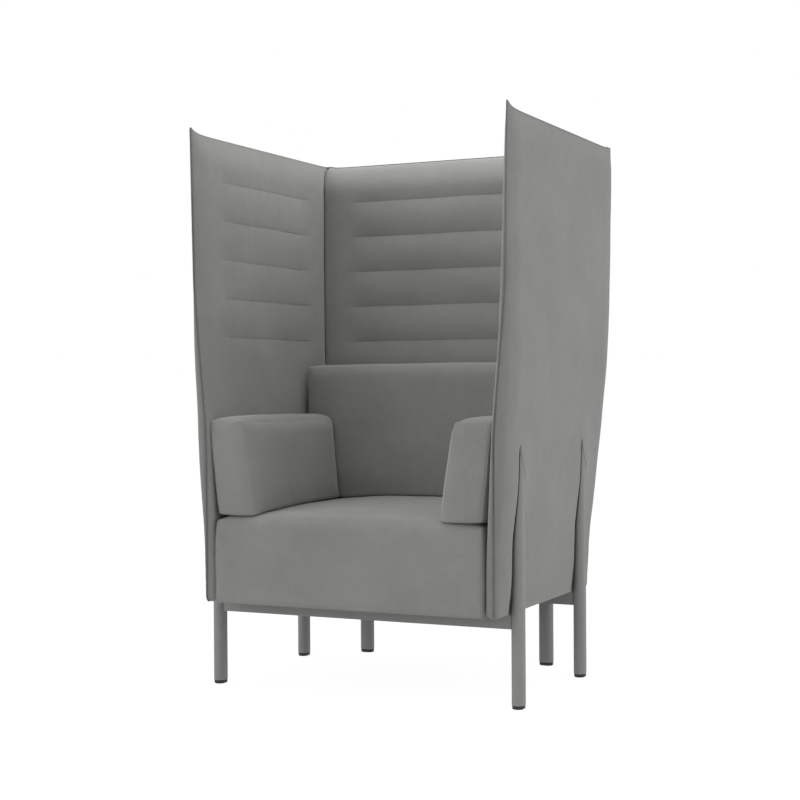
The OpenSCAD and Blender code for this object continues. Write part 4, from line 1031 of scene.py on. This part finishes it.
def make_arm_cushion(side, seat_tree):
    """A loose cushion that stands on the seat, against the side panel."""
    word = "right" if side > 0 else "left"
    half = (ARM_T / 2 - 4, (ARM_REAR - ARM_FRONT) / 2 - 4, ARM_H / 2 - 3)
    mid_x = ARM_FOOT_X - ARM_T / 2
    lean = (ARM_HEAD_X - ARM_TOP_T / 2 - mid_x) / ARM_H
    inward = ARM_INWARD if side > 0 else 0

    def shape(q, u):
        rise = q[:, 2] + ARM_H / 2
        q[:, 0] = q[:, 0] * (1 - (1 - ARM_TOP_T / ARM_T) * share(rise / ARM_H)) + lean * rise
        q[:, 1] += ARM_LEAN * rise * share((q[:, 1] + half[1]) / (2 * half[1]))
        q[:, 2] += share(u[:, 2]) ** 2 * 6 * (1 - u[:, 0] ** 2) * (1 - u[:, 1] ** 4)
        q = q + [mid_x, (ARM_REAR + ARM_FRONT) / 2, ARM_LOW + ARM_H / 2]
        return q * [side, 1, 1]

    def rest(q, u):
        z = q[:, 2]
        up = share((z - ARM_LOW) / ARM_H)
        back = share((q[:, 1] - ARM_FRONT) / (ARM_REAR - ARM_FRONT))
        outer, inner = share((1 + u[:, 0]) / 2), share((1 - u[:, 0]) / 2)
        q[:, 0] -= side * inward * inner
        q[:, 0] += side * up * (ARM_SPREAD * outer * np.exp(-back * 4)
                                - ARM_REAR_SPREAD * inner * back)
        ahead = q[:, 1] - nose_line(z)
        wall = (padding(side_mid_x(z), inner_x(z), quarter(ahead / EDGE_ROLL), -1)
                - (body_extra(z) + inner_swell(z)) * pillow(ahead / FRONT_FADE) - 1.8)
        q[:, 0] = np.where(side * q[:, 0] > wall, side * wall, q[:, 0])
        q[:, 1] = np.minimum(q[:, 1], FRONT_Y + SEAT_REACH - 6 + 0.08 * (z - ARM_LOW))
        return settle_on(q, u, seat_tree, 0.9)

    body = f"{word}_arm_cushion"
    obj, q, u = cushion(
        f"arm_cushion_cover_{word}", f"arm_cushion_{word}", body, half, 11.0, 9.5, shape, rest,
        cap=4.0, bulge=2.5, seams=[(1, 1, -1), (1, 1, 1), (2, 1, -1), (2, 1, 1)],
        seed=91 if side > 0 else 97, soft=ARM_SOFT,
        corners=[(a, -1, c) for a in (-1, 1) for c in (-1, 1)], spare=(-3.5, -3.0, -1.5))
    chain = [(1, 1, -1, True), (2, 1, 1, True), (1, 1, 1, False), (2, 1, -1, False)]
    seam_ridge(f"arm_cushion_seam_{word}_outer", q, u, chain, 1.1, body=body)


# ---------------- under the seat
LINING_T, LINING_DROP = 0.45, 0.12


def make_lining():
    """The felt under the seat box, stretched and stapled at its edge."""
    xs = np.linspace(-BOX_HALF_W, BOX_HALF_W, 69)
    ys = np.linspace(BOX_FRONT, BOX_REAR, 57)
    y, x = np.meshgrid(ys, xs, indexing="ij")
    rim = np.minimum(BOX_HALF_W - np.abs(x), np.minimum(y - BOX_FRONT, BOX_REAR - y))
    flat = np.stack([x, y], -1)
    sag = 0.6 * smooth(rim / 120) + 0.22 * waves(flat, 90.0, 101) * smooth(rim / 20)
    gathers = 0.16 * waves(np.stack([x + y, x - y], -1), 17.0, 103) * np.exp(-rim / 16)
    z = RAIL_TOP + 0.25 + 0.25 * gathers + np.where(rim < 8, -LINING_DROP, 0) + 0.1 * sag
    face = np.stack([x, y, z], -1)
    seam = np.exp(-rim / 6)
    obj = add_mesh("seat_lining", shell(face, face + np.array([0, 0, LINING_T])), "lining",
                   replaces=["dust_cover"], seam=[seam, seam])


def strap_places(span):
    n = math.floor((span - STRAP_W) / STRAP_PITCH)
    return [(i - n / 2) * STRAP_PITCH for i in range(n + 1)]


def make_webbing():
    """Straps woven over and under each other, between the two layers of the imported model."""
    mid_y = (BOX_FRONT + BOX_REAR) / 2
    across = [mid_y + y for y in strap_places(BOX_REAR - BOX_FRONT)]
    along = strap_places(2 * BOX_HALF_W)
    t = STRAP_T * 0.42
    w = np.array([-1, -0.96, -0.5, 0, 0.5, 0.96, 1]) * STRAP_W / 2

    def strap(centre, s, crossings, over, across_way):
        lift = np.zeros_like(s)
        for k, cross in enumerate(crossings):
            sign = 1 if (k + over) % 2 == 0 else -1
            lift += sign * np.exp(-((s - cross) / (STRAP_W * 0.42)) ** 4)
        g_s, g_w = np.meshgrid(s, w, indexing="ij")
        z = BOX_TOP + STRAP_T + np.repeat(lift[:, None], len(w), 1) * t * 0.9
        x, y = (g_s, centre + g_w) if across_way else (centre + g_w, g_s)
        return shell(np.stack([x, y, z + t], -1), np.stack([x, y, z - t], -1))

    marks = np.linspace(-BOX_HALF_W + 1, BOX_HALF_W - 1, 120)
    parts = [strap(y, marks, along, i, True) for i, y in enumerate(across)]
    add_mesh("webbing_straps_across", join_parts(parts), "webbing", replaces=["webbing_across"])
    marks = np.linspace(BOX_FRONT + 1, BOX_REAR - 1, 100)
    parts = [strap(x, marks, across, i + 1, False) for i, x in enumerate(along)]
    add_mesh("webbing_straps_along", join_parts(parts), "webbing", replaces=["webbing_along"])


# ---------------- materials
class Net:
    """Short calls for building the node net of a material or of the world."""

    def __init__(self, owner):
        owner.use_nodes = True
        self.owner = owner
        self.tree = owner.node_tree
        self.tree.nodes.clear()

    def put(self, socket, value):
        if isinstance(value, bpy.types.NodeSocket):
            self.tree.links.new(value, socket)
        else:
            socket.default_value = value

    def node(self, kind, *inputs, settings=(), **named):
        """A node with its settings and its inputs, in order or by name, _ for a space."""
        n = self.tree.nodes.new(kind)
        for key, value in dict(settings).items():
            setattr(n, key, value)
        for i, value in enumerate(inputs):
            self.put(n.inputs[i], value)
        for key, value in named.items():
            self.put(n.inputs[key.replace("_", " ")], value)
        return n

    def math(self, operation, *args):
        return self.node("ShaderNodeMath", *args, settings={"operation": operation}).outputs[0]

    def vector(self, operation, *args, **named):
        settings = {"operation": operation}
        return self.node("ShaderNodeVectorMath", *args, settings=settings, **named).outputs

    def mix(self, fac, a, b):
        n = self.node("ShaderNodeMix", settings={"data_type": "RGBA"})
        for i, value in ((0, fac), (6, a), (7, b)):
            self.put(n.inputs[i], value)
        return n.outputs[2]

    def noise(self, vector, scale, detail=3.0, rough=0.5, output="Fac"):
        return self.node("ShaderNodeTexNoise", Vector=vector, Scale=scale, Detail=detail,
                         Roughness=rough).outputs[output]

    def range(self, value, *limits):
        return self.node("ShaderNodeMapRange", value, *limits).outputs[0]

    def place(self):
        return self.node("ShaderNodeTexCoord").outputs["Object"]

    def split(self, vector):
        return self.node("ShaderNodeSeparateXYZ", vector).outputs

    def surface(self, shader):
        output = "Material" if isinstance(self.owner, bpy.types.Material) else "World"
        self.node(f"ShaderNodeOutput{output}", Surface=shader)
        return self.owner

    def coat(self, base, rough, bump=None, **named):
        """The material from its colour, its roughness and a bump: height, strength, depth in mm."""
        if bump:
            height, strength, depth = bump
            named["Normal"] = self.node("ShaderNodeBump", Strength=strength, Distance=depth * MM,
                                        Height=height).outputs[0]
        return self.surface(self.node("ShaderNodeBsdfPrincipled", Base_Color=base,
                                      Roughness=rough, **named).outputs[0])


def rgb(r, g, b):
    """A colour as it is seen on screen, 0 to 255, turned into linear light."""
    def lin(v):
        v /= 255
        return v / 12.92 if v <= 0.04045 else ((v + 0.055) / 1.055) ** 2.4
    return (lin(r), lin(g), lin(b), 1.0)


THREAD = 1.25 * MM


def fabric(name, tone, light, dark, bump=0.35):
    """Fine woven wool blend: crossed threads, mottled fibres, slow random changes of tone, and
    painted shade towards tone where the seam attribute is high: at sunk seams, in the legs' slots,
    along the outer pads' front edges and along the sewn channels.
    """
    n = Net(bpy.data.materials.new(name))
    coord = n.node("ShaderNodeTexCoord").outputs
    obj = coord["Object"]
    wobble = n.noise(obj, 90.0, 1.0, output="Color")
    moved = n.vector("MULTIPLY_ADD", wobble, (THREAD * 0.9,) * 3, obj)[0]
    threads = [n.math("SINE", n.math("MULTIPLY", v, math.pi / THREAD)) for v in n.split(moved)]
    facing = [n.math("POWER", n.math("ABSOLUTE", v), 4.0) for v in n.split(coord["Normal"])]
    total = n.math("ADD", n.math("ADD", facing[0], facing[1]), n.math("ADD", facing[2], 1e-4))
    cloth = 0.0
    for i in range(3):
        a, b = others(i)
        crossed = n.math("MULTIPLY", threads[a], threads[b])
        cloth = n.math("MULTIPLY_ADD", crossed, facing[i], cloth)
    cloth = n.math("DIVIDE", cloth, total)
    fibre, fleck = n.noise(obj, 2600.0, 2.0, 0.6), n.noise(obj, 620.0, 2.0, 0.55)
    slow, cloud = n.noise(obj, 5.5, 3.0), n.noise(obj, 34.0, 2.0)
    # The seam attribute carries painted shade.
    seam = n.node("ShaderNodeAttribute", settings={"attribute_name": "seam"}).outputs["Fac"]
    mottle = n.math("ADD", n.math("MULTIPLY", n.range(fleck, 0.3, 0.7, 0.0, 1.0), 0.55),
                    n.math("MULTIPLY", n.range(fibre, 0.3, 0.7, 0.0, 1.0), 0.45))
    thread = n.range(cloth, -1.0, 1.0, 0.0, 1.0)
    base = n.mix(n.math("MULTIPLY", n.math("SUBTRACT", 1.0, thread), 0.16),
                 n.mix(mottle, dark, light), dark)
    shade = n.math("ADD", n.math("MULTIPLY", slow, 0.7), n.math("MULTIPLY", cloud, 0.3))
    tinted = n.vector("SCALE", base, Scale=n.range(shade, 0.35, 0.65, 0.93, 1.06))[0]
    # Painted shade: the cloth is mixed towards tone by the seam attribute.
    sunk = n.mix(n.math("MULTIPLY", n.math("MINIMUM", seam, 1.0), 0.26), tinted, tone)
    height = n.math("ADD", n.math("MULTIPLY", cloth, 0.5), n.math("MULTIPLY", fibre, 0.7))
    height = n.math("ADD", height, n.math("MULTIPLY", fleck, 0.5))
    return n.coat(sunk, n.range(fleck, 0.2, 0.8, 0.82, 0.96), (height, bump, 0.35),
                  Sheen_Weight=0.45, Sheen_Roughness=0.45, Specular_IOR_Level=0.22)


def powder_coat(name, colour, light):
    """Satin powder coat: fine orange peel, slight cloudiness, scuffs near the floor."""
    n = Net(bpy.data.materials.new(name))
    obj = n.place()
    peel, cloud = n.noise(obj, 950.0, 2.0), n.noise(obj, 14.0, 4.0, 0.55)
    speck = n.noise(obj, 260.0, 6.0, 0.7)
    low = n.range(n.split(obj)[2], 0.0, 0.11, 1.0, 0.0)
    scuff = n.math("MULTIPLY", n.range(speck, 0.62, 0.7, 0.0, 1.0), low)
    base = n.mix(n.range(cloud, 0.3, 0.7, 0.0, 1.0), colour, light)
    base = n.mix(n.math("MULTIPLY", scuff, 0.5), base, rgb(150, 150, 148))
    return n.coat(base, n.range(cloud, 0.3, 0.7, 0.46, 0.58), (peel, 0.12, 0.2),
                  Specular_IOR_Level=0.42)


def moulded(name, colour):
    """Black moulded plastic: fine spark texture, greyer where it rubs on the floor."""
    n = Net(bpy.data.materials.new(name))
    obj = n.place()
    grain, rub = n.noise(obj, 2200.0, 2.0, 0.6), n.noise(obj, 300.0, 5.0, 0.7)
    low = n.range(n.split(obj)[2], 0.0, 0.004, 0.7, 0.0)
    worn = n.math("MULTIPLY", n.range(rub, 0.45, 0.6, 0.2, 1.0), low)
    return n.coat(n.mix(worn, colour, rgb(92, 90, 88)), n.range(grain, 0.3, 0.7, 0.5, 0.68),
                  (grain, 0.3, 0.1))


def zinc(name):
    """Zinc-plated steel: cloudy plating with fine turning marks."""
    n = Net(bpy.data.materials.new(name))
    obj = n.place()
    marks = n.node("ShaderNodeTexWave", Vector=obj, Scale=900.0, Distortion=2.0).outputs["Fac"]
    plate = n.mix(n.noise(obj, 180.0, 4.0, 0.6), rgb(172, 174, 178), rgb(205, 204, 196))
    return n.coat(plate, n.range(marks, 0.0, 1.0, 0.28, 0.42), Metallic=1.0)


def wood(name, light, dark, scale, along):
    """Bare board: long growth rings along one axis, pores and a slow change of tone."""
    n = Net(bpy.data.materials.new(name))
    obj = n.place()
    stretch = tuple(0.12 if i == along else 1.0 for i in range(3))
    grain = n.node("ShaderNodeMapping", Vector=obj, Scale=stretch).outputs[0]
    ring = n.node("ShaderNodeTexWave", settings={"wave_type": "RINGS"}, Vector=grain, Scale=scale,
                  Distortion=6.0, Detail=3.0).outputs["Fac"]
    pores, slow = n.noise(grain, 900.0, 3.0, 0.7), n.noise(obj, 4.0, 2.0)
    base = n.mix(n.math("MULTIPLY", ring, 0.7), light, dark)
    base = n.mix(n.range(pores, 0.56, 0.7, 0.0, 0.5), base, dark)
    base = n.mix(n.range(slow, 0.3, 0.7, 0.0, 0.25), base, dark)
    return n.coat(base, n.range(pores, 0.3, 0.7, 0.6, 0.78), (pores, 0.2, 0.3))


def strap_cloth(name, colour, light, pitch):
    """Coarse woven strap or felted lining: ribs, fuzz and dusty places."""
    n = Net(bpy.data.materials.new(name))
    obj = n.place()
    k = math.pi / (pitch * MM)
    ribs = n.math("MULTIPLY", *(n.math("SINE", n.math("MULTIPLY", v, k)) for v in n.split(obj)[:2]))
    fuzz, dust = n.noise(obj, 1500.0, 3.0, 0.6), n.noise(obj, 12.0, 4.0, 0.6)
    base = n.mix(n.math("MULTIPLY", n.range(fuzz, 0.35, 0.65, 0.0, 1.0), 0.5), colour, light)
    base = n.mix(n.range(dust, 0.5, 0.75, 0.0, 0.3), base, rgb(96, 94, 90))
    return n.coat(base, 0.9, (n.math("ADD", ribs, fuzz), 0.5, 0.3), Sheen_Weight=0.15)


def assign(obj, mat):
    obj.data.materials.clear()
    obj.data.materials.append(mat)
    obj.data.polygons.foreach_set("material_index", [0] * len(obj.data.polygons))


def dress():
    """Gives each solid and each piece the material of its slot; threads match the cloth."""
    # tone is the colour the cloth darkens to as painted shade at seams, slots and the outer pads'
    # front edges.
    tone, light, dark = rgb(96, 96, 93), rgb(159, 159, 156), rgb(126, 126, 123)
    by_slot = {
        "shell_fabric": fabric("shell_wool", tone, light, dark),
        "inner_fabric": fabric("inner_wool", tone, light, dark),
        # The cushions' cloth is the panels' wool made a little darker, as painted shade.
        "seat_fabric": fabric("seat_wool", tone, rgb(157, 157, 154), rgb(123, 123, 120)),
        "piping_fabric": fabric("trim_wool", tone, rgb(130, 130, 127), rgb(98, 98, 96), bump=0.5),
        "frame_paint": powder_coat("grey_powder_coat", rgb(138, 138, 136), rgb(145, 145, 143)),
        "glide_plastic": moulded("black_glide", rgb(30, 30, 30)),
        "fastener_zinc": zinc("zinc_plate"),
        "core_plywood": wood("plywood", rgb(214, 190, 150), rgb(176, 142, 98), 16.0, 2),
        "beech": wood("beech", rgb(208, 174, 134), rgb(170, 128, 88), 34.0, 0),
        "webbing": strap_cloth("webbing_cloth", rgb(38, 40, 38), rgb(70, 72, 68), 2.2),
        "lining": strap_cloth("lining_felt", rgb(34, 34, 36), rgb(60, 60, 62), 0.9)}
    slots = {s["node"]: s["material_slot"] for s in frame["record"]["subparts"]}
    for name, obj in frame["nodes"].items():
        if name in slots:
            assign(obj, by_slot[slots[name]])
    for obj, slot in PIECES:
        assign(obj, by_slot["inner_fabric" if "stitches" in obj.name else slot])


# ---------------- camera, floor and light
FOCAL_PX, FRAME_PX, SENSOR = 1582.44, 800.0, 36.0
CAMERA_AT = (1758.3, -3499.7 + LEG_FRONT_Y, 772.2)
YAW, PITCH, ROLL = 25.28, -0.609, -0.335
AMBIENT, BOX_FOCUS = 0.372, 6.0
SOFT_BOXES = [(0, 12, 1.55), (225, 12, 1.81)]
SHADOW_SHARE, FLOOR_GLOW, FLOOR_GREY, FLOOR_HALF = 0.16, 1.13, 0.86, 14.0
LAMP_AT, LAMP_TARGET, LAMP_SIZE, LAMP_POWER = (0, 0.1, 2.3), (0, 0.1, 0.9), 0.9, 7.6
WHITE = (1, 1, 1, 1)


def place_in_scene(name, data):
    obj = bpy.data.objects.new(name, data)
    bpy.context.scene.collection.objects.link(obj)
    return obj


def make_camera():
    """The photograph's camera, solved from the chair's legs, rail and panels."""
    cam = bpy.data.cameras.new("camera")
    cam.sensor_fit = "HORIZONTAL"
    cam.sensor_width = SENSOR
    cam.lens = FOCAL_PX / FRAME_PX * SENSOR
    cam.clip_start, cam.clip_end = 0.1, 60
    yaw, pitch, roll = (math.radians(v) for v in (YAW, PITCH, ROLL))
    look = Vector((-math.sin(yaw) * math.cos(pitch), math.cos(yaw) * math.cos(pitch),
                   math.sin(pitch)))
    right = Vector((math.cos(yaw), math.sin(yaw), 0))
    up = right.cross(look)
    r2 = right * math.cos(roll) + up * math.sin(roll)
    u2 = -right * math.sin(roll) + up * math.cos(roll)
    m = Matrix((r2, u2, -look)).transposed().to_4x4()
    m.translation = Vector(CAMERA_AT) * MM
    obj = place_in_scene("camera", cam)
    obj.matrix_world = m
    bpy.context.scene.camera = obj


def make_lamp():
    """A soft overhead lamp."""
    data = bpy.data.lights.new("overhead", "AREA")
    data.shape, data.size, data.energy = "DISK", LAMP_SIZE, LAMP_POWER
    obj = place_in_scene("overhead", data)
    obj.location = LAMP_AT
    aim = Vector(LAMP_TARGET) - Vector(LAMP_AT)
    obj.rotation_euler = aim.to_track_quat("-Z", "Y").to_euler()


def seen(net):
    """1 for a ray from the camera and for what shows in glossy and clear surfaces."""
    path = net.node("ShaderNodeLightPath").outputs
    return net.math("MAXIMUM", path["Is Camera Ray"],
                    net.math("MAXIMUM", path["Is Glossy Ray"], path["Is Transmission Ray"]))


def make_floor():
    """Shows almost white, with the chair's shadow, and lights the chair as a pale floor does."""
    r = FLOOR_HALF
    mesh = bpy.data.meshes.new("floor")
    mesh.from_pydata([(-r, -r, 0), (r, -r, 0), (r, r, 0), (-r, r, 0)], [], [(0, 1, 2, 3)])
    floor = place_in_scene("floor", mesh)
    floor.location.z = -0.0005
    n = Net(bpy.data.materials.new("floor_white"))
    diffuse = n.node("ShaderNodeBsdfDiffuse", Color=(FLOOR_GREY,) * 3 + (1,)).outputs[0]
    glow = n.node("ShaderNodeEmission", Color=WHITE, Strength=FLOOR_GLOW).outputs[0]
    white = n.math("MULTIPLY", seen(n), 1 - SHADOW_SHARE)
    mesh.materials.append(n.surface(n.node("ShaderNodeMixShader", white, diffuse, glow).outputs[0]))


def make_world():
    """White where it shows. It lights with an even part and a few wide, soft ones, each from its
    own direction: the turn from +X, the height and the strength of each are in SOFT_BOXES."""
    world = bpy.data.worlds.new("studio")
    bpy.context.scene.world = world
    n = Net(world)
    coord = n.node("ShaderNodeTexCoord").outputs["Generated"]
    total = AMBIENT
    for turn, height, strength in SOFT_BOXES:
        a, e = math.radians(turn), math.radians(height)
        towards = (math.cos(e) * math.cos(a), math.cos(e) * math.sin(a), math.sin(e))
        dot = n.vector("DOT_PRODUCT", coord, towards)["Value"]
        power = n.math("EXPONENT", n.math("MULTIPLY_ADD", dot, BOX_FOCUS, -BOX_FOCUS))
        total = n.math("MULTIPLY_ADD", power, strength, total)
    light = n.node("ShaderNodeBackground", Color=WHITE, Strength=total).outputs[0]
    white = n.node("ShaderNodeBackground", Color=WHITE, Strength=1.0).outputs[0]
    n.surface(n.node("ShaderNodeMixShader", seen(n), light, white).outputs[0])


# ---------------- build
make_camera()
side_inner = make_pads(rear=False)
back_inner = make_pads(rear=True)
make_piping()
make_slot_shade_strips()
make_corner_seams()
make_channel_stitches(side_inner, back_inner)
seat = make_seat()
bpy.context.view_layer.update()
seat_tree = BVHTree.FromObject(seat, bpy.context.evaluated_depsgraph_get())
make_back_cushion(seat_tree)
for cushion_side in (-1, 1):
    make_arm_cushion(cushion_side, seat_tree)
make_lining()
make_webbing()
dress()
make_floor()
make_world()
make_lamp()
view = bpy.context.scene.view_settings
view.view_transform = "Standard"
